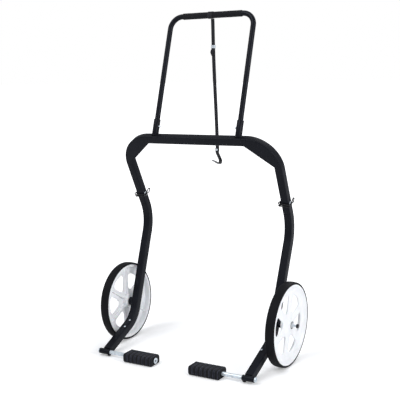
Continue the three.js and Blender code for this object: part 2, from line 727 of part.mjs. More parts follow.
function strapHook() {
  const corners = [
    [HOOK_Y, HOOK_TOP],
    [HOOK_Y, HOOK_TOP - 18],
    [HOOK_Y + 46, HOOK_TOP - 76],
    [HOOK_Y - 39, HOOK_TOP - 44],
  ];
  const points = corners.map(([y, z]) => new THREE.Vector3(HOOK_X, y, z));
  const route = new BentRoute(points, [0, 14, 10, 0], 8);
  const strip = sweep(roundedRectangle(HOOK_THICK, STRAP_WIDTH, 0.8), route, 1);
  const hole = barZ(RIVET_RADIUS + GAP, -12, 12, 14).rotateX(Math.PI / 2);
  return cut(strip, hole.translate(HOOK_X, HOOK_Y, RIVET_Z));
}

function hookRivet() {
  const back = HOOK_Y + HOOK_THICK / 2;
  const front = HOOK_Y - HOOK_THICK / 2 - GAP;
  const shank = barZ(RIVET_RADIUS, front - 1, back, 14);
  const head = barZ(4.2, front - 1.8, front, 18);
  return join(shank, head).rotateX(-Math.PI / 2).translate(HOOK_X, 0, RIVET_Z);
}

// ---------------------------------------------------------------- assembly
function group(parent, x, y, z, turnX = 0, turnY = 0) {
  const made = new THREE.Group();
  made.position.set(x, y, z);
  made.rotation.set(turnX, turnY, 0);
  parent.add(made);
  return made;
}

// a right-hand piece turned into its left-hand twin
function mirrored(geometry, side) {
  if (side > 0) return geometry;
  const twin = toSolid(geometry).mirror([1, 0, 0]);
  return toGeometry(twin);
}

function buildSide(side, label, spokeTurn) {
  const leg = group(trolley, side * FOOT_TRACK, 0, 0, 0, side * SPLAY);
  const put = (parent, name, geometry, material) =>
    place(parent, `${name}_${label}`, mirrored(geometry, side), material);
  put(leg, "lower_leg", lowerLeg(), BLACK_STEEL());
  put(leg, "elbow_bolt_low", elbowBolt(ELBOW_BOLTS[0]), ZINC());
  put(leg, "elbow_bolt_high", elbowBolt(ELBOW_BOLTS[1]), ZINC());

  const wheel = group(leg, 0, 0, AXLE_Z);
  put(wheel, "tyre", tyre(), RUBBER());
  put(wheel, "wheel_hub", wheelHub().rotateX(spokeTurn), WHITE_PLASTIC());
  put(wheel, "hub_bush", hubBush(), GREY_PLASTIC());
  put(wheel, "axle_boss", axleBoss(), BLACK_STEEL());
  put(wheel, "axle", axle(), ZINC());
  put(wheel, "axle_cap", axleCap(), BLACK_PLASTIC());

  const peg = group(trolley, side * sideAt(PEG_Z), PEG_Y, PEG_Z);
  const inner = PAD_INNER - sideAt(PEG_Z);
  put(peg, "foot_collar", footCollar(), BLACK_STEEL());
  put(peg, "peg_screw", pegScrew(), BLACK_PLASTIC());
  put(peg, "peg_rod", pegRod(inner), ZINC());
  put(peg, "peg_nut", pegNut(), ZINC());
  put(peg, "peg_washer", pegWasher(inner), ZINC());
  put(peg, "peg_pad", pegPad(inner), FOAM());
}

function buildUpperFrame() {
  const frame = group(trolley, 0, JOINT.x, JOINT.y, TILT);
  place(frame, "top_bar", topBar(), BLACK_STEEL());
  for (const [side, label] of SIDES) {
    place(frame, `corner_${label}`, corner(side), BLACK_STEEL());
    const leg = group(frame, side * JOINT_X, 0, 0, 0, side * UPPER_SLOPE);
    place(leg, `upper_leg_${label}`, upperLeg(), BLACK_STEEL());
    const lock = group(leg, 0, 0, PIN_RISE);
    place(lock, `lock_pin_${label}`, lockPin(), ZINC());
    place(lock, `wire_bail_${label}`, wireBail(), BLACK_WIRE());
    place(lock, `pin_eyelet_${label}`, pinEyelet(), ZINC());
  }
}

function buildHandle() {
  const handle = group(trolley, 0, BAR_CENTRE.x, BAR_CENTRE.y, -HANDLE_LEAN);
  for (const [side, label] of SIDES) {
    const socket = group(handle, side * HANDLE_HALF, 0, 0);
    place(socket, `handle_socket_${label}`, handleSocket(side), BLACK_STEEL());
    place(socket, `clamp_screw_${label}`, clampScrew(side), ZINC());
  }
  place(handle, "handle_tube", handleTube(), BLACK_STEEL());
  const loopLeft = STRAP_SHIFT - LOOP_HALF;
  const loopRight = STRAP_SHIFT + LOOP_HALF;
  place(handle, "foam_grip_left", sleeveX(GRIP_RADIUS, -GRIP_HALF, loopLeft - GAP), FOAM());
  place(handle, "foam_grip_right", sleeveX(GRIP_RADIUS, loopRight + GAP, GRIP_HALF), FOAM());
  place(handle, "strap_loop", sleeveX(LOOP_RADIUS, loopLeft, loopRight), WEBBING());
}

function buildStrap() {
  place(trolley, "strap", strap(), WEBBING());
  place(trolley, "strap_buckle", strapBuckle(), ZINC());
  place(trolley, "strap_hook", strapHook(), BLACK_STEEL());
  place(trolley, "hook_rivet", hookRivet(), ZINC());
}

for (const [side, label] of SIDES) buildSide(side, label, SPOKE_TURN[label]);
buildUpperFrame();
buildHandle();
buildStrap();

// the origin is on the floor, in the middle of the trolley's length and width
trolley.position.y = (PAD_WIDTH / 2 - PEG_Y - WHEEL_RADIUS) / 2;
export default trolley;
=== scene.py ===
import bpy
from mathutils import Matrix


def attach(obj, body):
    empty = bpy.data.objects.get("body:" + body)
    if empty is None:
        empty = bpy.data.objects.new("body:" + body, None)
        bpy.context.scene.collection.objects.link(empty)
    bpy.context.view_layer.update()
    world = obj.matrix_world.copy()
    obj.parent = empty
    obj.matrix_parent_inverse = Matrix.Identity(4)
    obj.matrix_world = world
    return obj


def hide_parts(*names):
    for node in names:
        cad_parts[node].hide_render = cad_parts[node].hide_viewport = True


bl_info = {
    "name": "Two-wheeled hand trolley",
    "version": (1, 0, 0),
    "blender": (4, 5, 0),
    "location": "3D View > Sidebar > Trolley",
    "description": "Builds the looks of a two-wheeled hand trolley round its CAD frame",
    "category": "Object",
}

import math

import bmesh
import bpy
import numpy as np
from bpy.props import FloatProperty, FloatVectorProperty, IntProperty, PointerProperty
from mathutils import Matrix, Vector

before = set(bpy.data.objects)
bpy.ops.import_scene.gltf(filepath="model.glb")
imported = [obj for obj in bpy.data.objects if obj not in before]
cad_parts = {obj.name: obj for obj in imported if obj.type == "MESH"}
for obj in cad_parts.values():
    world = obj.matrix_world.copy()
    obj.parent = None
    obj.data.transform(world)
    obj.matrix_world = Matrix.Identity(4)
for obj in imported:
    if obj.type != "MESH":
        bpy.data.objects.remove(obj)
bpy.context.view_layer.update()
SIDES = ((-1, "left"), (1, "right"))
MM = 0.001

# ---------------------------------------------------------------- the frame's layout, in millimetres
FLOOR_SHIFT = 47.25  # the axle line is this far behind the origin
SPLAY = math.radians(1.38)
FOOT_ANGLE = math.radians(23.5)
RAKE = math.radians(21.2)
TILT = math.radians(25)
LEAN = math.radians(18)
FOOT_TRACK = 305.7
TYRE_IN = 30.5
TYRE_OUT = 65.8
AXLE_END = TYRE_OUT + 27
AXLE_Z = 157.5 + (TYRE_IN + TYRE_OUT) / 2 * math.tan(SPLAY)
PEG_Y = -220.0
PEG_Z = 18.0
ELBOW_Z = 97.0
KNEE_Z = 495.0
LEG_BEHIND = 3.0
ELBOW = np.array([(ELBOW_Z - AXLE_Z) * math.tan(RAKE) - LEG_BEHIND, ELBOW_Z])
KNEE = np.array([(KNEE_Z - AXLE_Z) * math.tan(RAKE) - LEG_BEHIND, KNEE_Z])
FOOT_END_Y = PEG_Y + 12
FOOT_END = np.array([FOOT_END_Y, ELBOW[1] - (ELBOW[0] - FOOT_END_Y) * math.tan(FOOT_ANGLE)])
UP_LEG = np.array([-math.sin(TILT), math.cos(TILT)])
JOINT = KNEE + 67 * UP_LEG
UPPER_SLOPE = math.atan(math.tan(SPLAY) * math.cos(TILT))
JOINT_X = FOOT_TRACK + math.tan(SPLAY) * JOINT[1]
BAR_RISE = 300.0
BAR_CENTRE = JOINT + BAR_RISE * UP_LEG
PIN_RISE = 40.0
HANDLE_HALF = 179.5
HANDLE_LENGTH = 483.5
HANDLE_BEND = 48.0
COLLAR_IN = -21.0
COLLAR_OUT = 27.0
PAD_INNER = 80.0
PAD_LENGTH = 125.0
GRIP_HALF = 127.0
LOOP_MIDDLE = -6.0
LOOP_HALF = 11.0
STRAP_POINTS = [
    [0, 124, 1273.6],
    [0, 124.4, 1262],
    [-0.2, 125, 1245],
    [-0.5, 125.7, 1225],
    [-0.8, 126.4, 1200],
    [-1, 127.1, 1170],
    [-1, 127.9, 1135],
    [-0.6, 128.7, 1095],
    [0.2, 129.5, 1050],
    [1.3, 130.3, 1000],
    [2.6, 131.1, 950],
    [3.7, 131.9, 900],
    [4.5, 132.6, 855],
    [5, 133.2, 815],
    [5.2, 133.6, 790],
    [5.3, 133.8, 768],
]


# ---------------------------------------------------------------- sizes and colours a user would change
class TrolleyTubeSettings(bpy.types.PropertyGroup):
    """Sizes and colour of the black tubes."""

    side: FloatProperty(
        name="Tube side", description="Outside width of the square tube", default=0.03, unit="LENGTH"
    )
    corner: FloatProperty(
        name="Tube corner", description="Radius of the square tube's edges", default=0.0034, unit="LENGTH"
    )
    handle: FloatProperty(
        name="Handle tube", description="Radius of the round handle tube", default=0.01, unit="LENGTH"
    )
    coat: FloatVectorProperty(
        name="Coat",
        description="Colour of the powder coat",
        subtype="COLOR",
        default=(0.0052, 0.0056, 0.0086),
    )
    edge: FloatVectorProperty(
        name="Worn edge",
        description="Colour of the rubbed edges",
        subtype="COLOR",
        default=(0.02, 0.021, 0.027),
    )


class TrolleyWheelSettings(bpy.types.PropertyGroup):
    """Sizes and colours of the wheels."""

    radius: FloatProperty(
        name="Tyre radius", description="From the axle to the tread", default=0.1575, unit="LENGTH"
    )
    spoke: FloatProperty(name="Spoke width", description="Across one spoke", default=0.035, unit="LENGTH")
    spokes: IntProperty(name="Spokes", description="Spokes in one wheel", default=6, min=3, max=9)
    plastic: FloatVectorProperty(
        name="Wheel plastic",
        description="Colour of the hub",
        subtype="COLOR",
        default=(0.89, 0.9, 0.92),
    )
    rubber: FloatVectorProperty(
        name="Tyre rubber",
        description="Colour of the tyre",
        subtype="COLOR",
        default=(0.0055, 0.0057, 0.0075),
    )


class TrolleyPadSettings(bpy.types.PropertyGroup):
    """Sizes and colours of the lifting pads and their pegs."""

    width: FloatProperty(name="Pad width", description="Front to back", default=0.064, unit="LENGTH")
    height: FloatProperty(name="Pad height", description="Over the ribs", default=0.036, unit="LENGTH")
    ribs: IntProperty(name="Ribs", description="Ribs on one pad", default=7, min=2, max=12)
    rubber: FloatVectorProperty(
        name="Pad rubber",
        description="Colour of the pads",
        subtype="COLOR",
        default=(0.0042, 0.0044, 0.0064),
    )
    zinc: FloatVectorProperty(
        name="Zinc", description="Colour of the plated steel", subtype="COLOR", default=(0.74, 0.81, 0.87)
    )


class TrolleyStrapSettings(bpy.types.PropertyGroup):
    """Sizes and colours of the hook strap and the grips."""

    width: FloatProperty(
        name="Strap width", description="Width of the webbing", default=0.015, unit="LENGTH"
    )
    thickness: FloatProperty(
        name="Strap thickness", description="Thickness of the webbing", default=0.0018, unit="LENGTH"
    )
    webbing: FloatVectorProperty(
        name="Webbing",
        description="Colour of the webbing",
        subtype="COLOR",
        default=(0.0022, 0.0022, 0.003),
    )
    grip: FloatProperty(name="Grip radius", description="Radius of the foam", default=0.012, unit="LENGTH")
    foam: FloatVectorProperty(
        name="Foam", description="Colour of the grips", subtype="COLOR", default=(0.0075, 0.0079, 0.0105)
    )


def settings(name):
    """One of the scene's groups of sizes and colours."""
    return getattr(bpy.context.scene, f"trolley_{name}")


# ---------------------------------------------------------------- materials
class Graph:
    """A material's node tree, with short calls for adding and joining nodes."""

    def __init__(self, name):
        self.material = bpy.data.materials.new(name)
        self.material.use_nodes = True
        self.nodes = self.material.node_tree.nodes
        self.links = self.material.node_tree.links
        self.shader = self.nodes["Principled BSDF"]
        self.place = self.nodes.new("ShaderNodeTexCoord")

    def add(self, kind, inputs=(), **values):
        node = self.nodes.new(f"ShaderNode{kind}")
        for key, value in values.items():
            setattr(node, key, value)
        for key, value in dict(inputs).items():
            if isinstance(value, bpy.types.NodeSocket):
                self.links.new(value, node.inputs[key])
            else:
                node.inputs[key].default_value = value
        return node

    def noise(self, scale, detail=3.0, rough=0.55, source="Object", stretch=(1, 1, 1)):
        mapping = self.add("Mapping", {"Vector": self.place.outputs[source], "Scale": stretch})
        inputs = {"Vector": mapping.outputs[0], "Scale": scale, "Detail": detail, "Roughness": rough}
        return self.add("TexNoise", inputs).outputs["Fac"]

    def ramp(self, value, low, high, start=0.35, end=0.65):
        node = self.add("ValToRGB", {"Fac": value})
        node.color_ramp.elements[0].position = start
        node.color_ramp.elements[1].position = end
        node.color_ramp.elements[0].color = (*low, 1)
        node.color_ramp.elements[1].color = (*high, 1)
        return node.outputs["Color"]

    def spread(self, value, low, high):
        inputs = {"Value": value, "From Min": 0.3, "From Max": 0.7, "To Min": low, "To Max": high}
        return self.add("MapRange", inputs).outputs[0]

    def maths(self, operation, a, b):
        return self.add("Math", {0: a, 1: b}, operation=operation).outputs[0]

    def mix(self, amount, a, b):
        node = self.add("Mix", data_type="RGBA")
        for key, value in ((0, amount), (6, a), (7, b)):
            if isinstance(value, bpy.types.NodeSocket):
                self.links.new(value, node.inputs[key])
            else:
                node.inputs[key].default_value = value if key == 0 else (*value, 1)
        return node.outputs[2]

    def bump(self, height, distance, strength=1.0, normal=None):
        inputs = {"Height": height, "Distance": distance, "Strength": strength}
        if normal is not None:
            inputs["Normal"] = normal
        return self.add("Bump", inputs).outputs["Normal"]

    def join(self, **sockets):
        names = {
            "color": "Base Color",
            "rough": "Roughness",
            "normal": "Normal",
            "metal": "Metallic",
            "glow": "Emission Strength",
        }
        for key, value in sockets.items():
            if isinstance(value, bpy.types.NodeSocket):
                self.links.new(value, self.shader.inputs[names[key]])
            else:
                self.shader.inputs[names[key]].default_value = value
        return self.material

    def set(self, **values):
        for key, value in values.items():
            self.shader.inputs[key.replace("_", " ")].default_value = value


def shade(color, amount):
    """The colour made lighter or darker by a factor."""
    return tuple(min(1.0, c * amount) for c in color)


def powder_coat(name="powder coat"):
    """Satin black powder coat: fine orange-peel bumps, a slow change of tone, and rubbed edges where the
    surface turns sharply."""
    if name in bpy.data.materials:
        return bpy.data.materials[name]
    sizes = settings("tube")
    g = Graph(name)
    tone = g.ramp(g.noise(9, 4), shade(sizes.coat, 0.82), shade(sizes.coat, 1.3))
    bends = g.add("NewGeometry").outputs["Pointiness"]
    wear_and_highlight = g.add("MapRange", {"Value": bends, "From Min": 0.57, "From Max": 0.68}).outputs[0]
    patchy = g.maths("MULTIPLY", wear_and_highlight, g.spread(g.noise(60, 3), 0.1, 0.8))
    color = g.mix(patchy, tone, sizes.edge)
    peel = g.bump(g.noise(900, 2), 0.00006, 0.4)
    waves = g.bump(g.noise(60, 2), 0.0002, 0.2, peel)
    g.set(Specular_IOR_Level=0.16, Specular_Tint=(0.85, 0.9, 1, 1))
    return g.join(color=color, rough=g.spread(g.noise(35, 3), 0.36, 0.48), normal=waves)


def zinc_plate():
    """Bright zinc plate: pale blue metal with fine turning lines and a cloudy sheen."""
    if "zinc plate" in bpy.data.materials:
        return bpy.data.materials["zinc plate"]
    base = settings("pad").zinc
    g = Graph("zinc plate")
    cloud = g.noise(55, 4)
    lines = g.noise(420, 2, stretch=(0.04, 1, 1))
    color = g.ramp(cloud, shade(base, 0.86), shade(base, 1.14))
    rough = g.maths("ADD", g.spread(cloud, 0.24, 0.36), g.spread(lines, 0.0, 0.08))
    g.set(Metallic=0.5)
    return g.join(color=color, rough=rough, normal=g.bump(lines, 0.00005, 0.35))


def pin_steel():
    """Zinc on the pin's shank and tip, black coat on its head, told apart by the head attribute."""
    if "pin steel" in bpy.data.materials:
        return bpy.data.materials["pin steel"]
    g = Graph("pin steel")
    head = g.add("Attribute", attribute_name="head").outputs["Fac"]
    cloud = g.noise(90, 3)
    zinc = g.ramp(cloud, shade(settings("pad").zinc, 0.8), settings("pad").zinc)
    color = g.mix(head, zinc, shade(settings("tube").coat, 1.5))
    metal = g.maths("SUBTRACT", 0.5, g.maths("MULTIPLY", head, 0.5))
    g.set(Specular_IOR_Level=0.3)
    grain = g.bump(g.noise(800, 2), 0.00008, 0.3)
    return g.join(color=color, rough=g.spread(cloud, 0.26, 0.42), metal=metal, normal=grain)


def tyre_rubber():
    """Matt black tyre rubber with a dusty bloom and fine moulding grain."""
    if "tyre rubber" in bpy.data.materials:
        return bpy.data.materials["tyre rubber"]
    base = settings("wheel").rubber
    g = Graph("tyre rubber")
    bloom = g.noise(14, 5, 0.6)
    color = g.ramp(bloom, shade(base, 0.85), shade(base, 1.7), 0.4, 0.75)
    grain = g.bump(g.noise(1400, 2), 0.00015, 0.45)
    g.set(Specular_IOR_Level=0.13)
    normal = g.bump(g.noise(160, 2), 0.0002, 0.3, grain)
    return g.join(color=color, rough=g.spread(bloom, 0.52, 0.7), normal=normal)


def ribbed_rubber():
    """Matt rubber of the lifting pads: a fine pebbled skin, with a painted highlight along the ribs'
    shoulders (a much paler colour there), which the UV map's second value marks."""
    if "pad rubber" in bpy.data.materials:
        return bpy.data.materials["pad rubber"]
    base = settings("pad").rubber
    g = Graph("pad rubber")
    pebble = g.add("TexVoronoi", {"Vector": g.place.outputs["Object"], "Scale": 620.0}).outputs["Distance"]
    dust = g.noise(30, 4)
    tone = g.ramp(dust, shade(base, 0.75), shade(base, 1.5))
    shoulder = g.add("SeparateXYZ", {"Vector": g.place.outputs["UV"]}).outputs["Y"]
    # Painted highlight: the ribs' shoulders get a much paler rubber colour, broken up by noise.
    wear_and_highlight = g.maths("MULTIPLY", shoulder, g.spread(g.noise(80, 3), 0.35, 1.0))
    color = g.mix(wear_and_highlight, tone, shade(base, 26.0))
    g.set(Specular_IOR_Level=0.2)
    return g.join(color=color, rough=g.spread(dust, 0.5, 0.68), normal=g.bump(pebble, 0.0002, 0.5))


def wheel_plastic():
    """White moulded plastic, slightly glossy, with faint flow marks."""
    if "wheel plastic" in bpy.data.materials:
        return bpy.data.materials["wheel plastic"]
    base = settings("wheel").plastic
    g = Graph("wheel plastic")
    flow = g.noise(22, 4)
    color = g.ramp(flow, shade(base, 0.96), shade(base, 1.04))
    g.set(Specular_IOR_Level=0.5, Subsurface_Weight=0.04, Subsurface_Scale=0.004)
    grain = g.bump(g.noise(700, 2), 0.00006, 0.3)
    return g.join(color=color, rough=g.spread(g.noise(60, 3), 0.32, 0.44), normal=grain)


def plain_plastic(name, base, low, high):
    """Small moulded parts: even colour with a faint grain."""
    if name in bpy.data.materials:
        return bpy.data.materials[name]
    g = Graph(name)
    tone = g.noise(70, 3)
    color = g.ramp(tone, shade(base, 0.85), shade(base, 1.2))
    g.set(Specular_IOR_Level=0.3)
    grain = g.bump(g.noise(1100, 2), 0.0001, 0.4)
    return g.join(color=color, rough=g.spread(tone, low, high), normal=grain)


def black_plastic():
    """The plastic of the axle caps and the peg screws, and of the black rings round the bushes, which are
    painted shade.
    """
    return plain_plastic("black plastic", (0.008, 0.008, 0.0095), 0.4, 0.55)


def foam_skin():
    """Closed-cell foam: very fine pores, soft sheen and a slow mottling."""
    if "grip foam" in bpy.data.materials:
        return bpy.data.materials["grip foam"]
    base = settings("strap").foam
    g = Graph("grip foam")
    pores = g.add("TexVoronoi", {"Vector": g.place.outputs["Object"], "Scale": 1300.0}).outputs["Distance"]
    mottle = g.noise(45, 4)
    color = g.ramp(mottle, shade(base, 0.7), shade(base, 1.35))
    g.set(Specular_IOR_Level=0.2, Sheen_Weight=0.05, Sheen_Roughness=0.5)
    skin = g.bump(pores, 0.00035, 0.7)
    normal = g.bump(g.noise(220, 3), 0.0004, 0.4, skin)
    return g.join(color=color, rough=g.spread(mottle, 0.72, 0.9), normal=normal)


def webbing(name="webbing"):
    """Woven webbing on the piece's own UV map, in metres: two diagonal sets of ribs make the twill, and a
    fine cross wave gives the threads."""
    if name in bpy.data.materials:
        return bpy.data.materials[name]
    base = settings("strap").webbing
    g = Graph(name)
    uv = g.place.outputs["UV"]
    ribs = []
    for turn in (0.65, -0.65):
        spun = g.add("Mapping", {"Vector": uv, "Rotation": (0, 0, turn)}).outputs[0]
        wave = g.add("TexWave", {"Vector": spun, "Scale": 330.0, "Distortion": 0.0}, bands_direction="X")
        ribs.append(wave.outputs["Fac"])
    threads = g.add("TexWave", {"Vector": uv, "Scale": 620.0}, bands_direction="Y").outputs["Fac"]
    weave = g.maths("MULTIPLY", g.maths("MAXIMUM", *ribs), g.spread(threads, 0.6, 1.0))
    color = g.ramp(weave, shade(base, 0.55), shade(base, 1.9), 0.2, 0.9)
    g.set(Specular_IOR_Level=0.2, Sheen_Weight=0.04, Sheen_Roughness=0.4)
    return g.join(color=color, rough=g.spread(weave, 0.86, 0.62), normal=g.bump(weave, 0.0003, 0.8))


# ---------------------------------------------------------------- numpy surfaces
def turned(x=0.0, y=0.0):
    """The matrix that turns about Y and then about X."""
    cx, sx, cy, sy = math.cos(x), math.sin(x), math.cos(y), math.sin(y)
    about_x = np.array([[1, 0, 0], [0, cx, -sx], [0, sx, cx]])
    return about_x @ np.array([[cy, 0, sy], [0, 1, 0], [-sy, 0, cy]])


class Seat:
    """Where a piece stands: points in millimetres are mirrored in x, turned and shifted into metres."""

    def __init__(self, turn, shift, flip=1):
        self.turn = turn
        self.shift = np.array(shift, float)
        self.flip = np.array([flip, 1, 1], float)

    def __call__(self, points):
        moved = (np.asarray(points, float) * self.flip) @ self.turn.T + self.shift
        return (moved + np.array([0, FLOOR_SHIFT, 0])) * MM


def leg_seat(side, height=0.0):
    """The lower leg's own upright frame, raised along the leg."""
    turn = turned(y=side * SPLAY)
    return Seat(turn, np.array([side * FOOT_TRACK, 0, 0]) + turn @ [0, 0, height], side)


def peg_seat(side):
    return Seat(np.eye(3), [side * (FOOT_TRACK + math.tan(SPLAY) * PEG_Z), PEG_Y, PEG_Z], side)


def upper_seat():
    """The upper frame's plane, on the leg joint."""
    return Seat(turned(x=TILT), [0, JOINT[0], JOINT[1]])


def lock_seat(side):
    """The lock pin's frame; both pins point the same way, so it is never mirrored."""
    plane = turned(x=TILT)
    turn = turned(x=TILT, y=side * UPPER_SLOPE)
    shift = np.array([0, JOINT[0], JOINT[1]]) + plane @ [side * JOINT_X, 0, 0] + turn @ [0, 0, PIN_RISE]
    return Seat(turn, shift)


def handle_seat():
    return Seat(turned(x=-LEAN), [0, BAR_CENTRE[0], BAR_CENTRE[1]])


def grid_faces(rows, columns, close_rows=False, close_columns=False):
    """Quads of a rows by columns grid of points; a closed direction joins its last line to its first."""
    i = np.arange(rows if close_rows else rows - 1)
    j = np.arange(columns if close_columns else columns - 1)
    i, j = np.meshgrid(i, j, indexing="ij")
    i2, j2 = (i + 1) % rows, (j + 1) % columns
    corners = [i * columns + j, i2 * columns + j, i2 * columns + j2, i * columns + j2]
    return np.stack(corners, -1).reshape(-1, 4).tolist()


def end_faces(rows, columns):
    """The grid's first and last ring, each as one flat face."""
    last = (rows - 1) * columns
    return [list(range(columns)), list(range(last, last + columns))]


def unit(vectors):
    return vectors / np.linalg.norm(vectors, axis=-1, keepdims=True)


def run_along(path):
    """Each point's distance from the start, measured along the path."""
    return np.concatenate([[0], np.cumsum(np.linalg.norm(np.diff(path, axis=0), axis=1))])


def sweep(path, side, profile, scale=None, closed=False):
    """A profile carried along a path: each ring is the path's point, plus the profile's first coordinate
    along the side direction, plus its second along tangent x side. Scale is a (width, height) factor for
    each ring. Open sweeps get a flat cap on each end."""
    path = np.asarray(path, float)
    if closed:
        tangent = unit(np.roll(path, -1, 0) - np.roll(path, 1, 0))
    else:
        tangent = unit(np.gradient(path, axis=0))
    up = unit(np.cross(tangent, np.broadcast_to(np.asarray(side, float), path.shape)))
    across = np.cross(up, tangent)
    scale = np.ones((len(path), 2)) if scale is None else np.asarray(scale, float)
    wide = profile[None, :, 0] * scale[:, :1]
    high = profile[None, :, 1] * scale[:, 1:]
    rings = path[:, None] + wide[..., None] * across[:, None] + high[..., None] * up[:, None]
    rows, columns = rings.shape[:2]
    faces = grid_faces(rows, columns, close_rows=closed, close_columns=True)
    if not closed:
        faces += end_faces(rows, columns)
    return rings.reshape(-1, 3), faces


def lathe(outline, count=64, closed=True):
    """A ring or disc turned about X: an outline point (radius, x) becomes the circle of that radius at
    that x. A closed outline is a solid ring's section."""
    radius, x = np.asarray(outline, float).T
    angle = np.linspace(0, 2 * math.pi, count, endpoint=False)
    points = np.stack(
        [
            np.broadcast_to(x[:, None], (len(x), count)),
            radius[:, None] * np.cos(angle),
            radius[:, None] * np.sin(angle),
        ],
        -1,
    )
    return points.reshape(-1, 3), grid_faces(len(x), count, close_rows=closed, close_columns=True)


def rounded(wide, high, radius, steps=6):
    """Points of a rectangle with round corners, anticlockwise."""
    start = np.arange(4) * math.pi / 2
    angle = (start[:, None] + np.linspace(0, math.pi / 2, steps)).ravel()
    sign = np.array([[1, 1], [-1, 1], [-1, -1], [1, -1]], float)
    centre = np.repeat(sign * [wide / 2 - radius, high / 2 - radius], steps, axis=0)
    return centre + radius * np.stack([np.cos(angle), np.sin(angle)], -1)


def ring_profile(radius, count=12):
    angle = np.linspace(0, 2 * math.pi, count, endpoint=False)
    return radius * np.stack([np.cos(angle), np.sin(angle)], -1)


def bent_route(corners, radii, steps=20, gap=9.0):
    """Straight runs between corners, each corner an arc that touches both its runs; straight runs get a
    point about every gap."""
    corners = [np.asarray(c, float) for c in corners]
    stops = [corners[0][None]]
    for before, corner, after, radius in zip(corners, corners[1:], corners[2:], radii):
        into, out = unit(corner - before), unit(after - corner)
        turn = math.acos(np.clip(into @ out, -1, 1))
        start = corner - into * radius * math.tan(turn / 2)
        inward = unit(out - into * (out @ into))
        angle = np.linspace(0, turn, steps)[:, None]
        stops.append(start + radius * np.sin(angle) * into + radius * (1 - np.cos(angle)) * inward)
    stops.append(corners[-1][None])
    pieces = []
    for here, there in zip(stops, stops[1:]):
        count = max(2, int(np.linalg.norm(there[0] - here[-1]) / gap))
        share = np.linspace(0, 1, count, endpoint=False)[1:, None]
        pieces += [here, here[-1] * (1 - share) + there[0] * share]
    return np.concatenate([*pieces, stops[-1]])


def smooth_line(points, steps, tension=0.5, closed=False):
    """A Catmull-Rom line: each span is the cubic that passes its ends with slopes of tension times the
    chord between the neighbours."""
    p = np.asarray(points, float)
    if closed:
        a, b, c, d = (np.roll(p, shift, 0) for shift in (1, 0, -1, -2))
    else:
        padded = np.concatenate([[2 * p[0] - p[1]], p, [2 * p[-1] - p[-2]]])
        a, b, c, d = padded[:-3], padded[1:-2], padded[2:-1], padded[3:]
    t = np.linspace(0, 1, steps, endpoint=False)[:, None, None]
    leave, arrive = tension * (c - a), tension * (d - b)
    line = (
        (2 * t**3 - 3 * t**2 + 1) * b
        + (t**3 - 2 * t**2 + t) * leave
        + (3 * t**2 - 2 * t**3) * c
        + (t**3 - t**2) * arrive
    )
    line = line.transpose(1, 0, 2).reshape(-1, 3)
    return line if closed else np.concatenate([line, p[-1:]])


def ends_in(path, radius, rounding):
    """A scale for each ring that rounds a tube's two ends: within the rounding of an end the half width
    falls along a quarter circle."""
    path = np.asarray(path, float)
    run = run_along(path)
    away = np.minimum(run, run[-1] - run)
    dip = np.clip(rounding - away, 0, rounding)
    drop = rounding - np.sqrt(rounding**2 - dip**2)
    return np.repeat(((radius - drop) / radius)[:, None], 2, axis=1)


def with_ends(path, distances):
    """The path with extra points near both ends, at these distances from them."""
    path = np.asarray(path, float)
    first, last = unit(path[1] - path[0]), unit(path[-1] - path[-2])
    near = [path[0] + first * d for d in distances]
    far = [path[-1] - last * d for d in reversed(distances)]
    return np.concatenate([path[:1], near, path[1:-1], far, path[-1:]])


END_STEPS = (0.12, 0.4, 0.8, 1.3)


# ---------------------------------------------------------------- pieces
def finish_mesh(mesh, angle):
    """Merges doubles, turns every face outwards and shades smooth up to an angle."""
    work = bmesh.new()
    work.from_mesh(mesh)
    bmesh.ops.remove_doubles(work, verts=work.verts, dist=2e-6)
    bmesh.ops.recalc_face_normals(work, faces=work.faces)
    work.to_mesh(mesh)
    work.free()
    mesh.shade_smooth()
    mesh.set_sharp_from_angle(angle=math.radians(angle))


def add_piece(name, parts, seat, body, material, stands_for=(), uv=None, angle=35):
    """Makes one object of one or more (points, faces) parts, puts it on its body and hides the CAD nodes it
    stands for. uv gives each point's place on the material."""
    points, faces, start = [], [], 0
    for part_points, part_faces in parts:
        points.append(part_points)
        faces += [[index + start for index in face] for face in part_faces]
        start += len(part_points)
    mesh = bpy.data.meshes.new(name)
    mesh.from_pydata(seat(np.concatenate(points)).tolist(), [], faces)
    if uv is not None:
        layer = mesh.uv_layers.new(name="weave")
        corner = np.empty(len(mesh.loops), np.int32)
        mesh.loops.foreach_get("vertex_index", corner)
        layer.data.foreach_set("uv", np.asarray(uv, np.float32)[corner].ravel())
    finish_mesh(mesh, angle)
    mesh.materials.append(material)
    piece = bpy.data.objects.new(name, mesh)
    bpy.context.scene.collection.objects.link(piece)
    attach(piece, body)
    if stands_for:
        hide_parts(*stands_for)
    return piece


def add_recast(node, body, material, edge=0.0006, angle=35):
    """A merged copy of a CAD node, with its flat faces joined and its edges rounded."""
    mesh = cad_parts[node].data.copy()
    work = bmesh.new()
    work.from_mesh(mesh)
    bmesh.ops.remove_doubles(work, verts=work.verts, dist=1e-5)
    flat = math.radians(2)
    bmesh.ops.dissolve_limit(work, angle_limit=flat, verts=work.verts, edges=work.edges)
    work.to_mesh(mesh)
    work.free()
    mesh.shade_smooth()
    mesh.materials.clear()
    mesh.materials.append(material)
    piece = bpy.data.objects.new(f"{node}_finished", mesh)
    bpy.context.scene.collection.objects.link(piece)
    bevel = piece.modifiers.new("rounded edges", "BEVEL")
    bevel.width = edge
    bevel.segments = 2
    bevel.limit_method = "ANGLE"
    bevel.angle_limit = math.radians(angle)
    bevel.harden_normals = True
    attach(piece, body)
    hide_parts(node)
    return piece


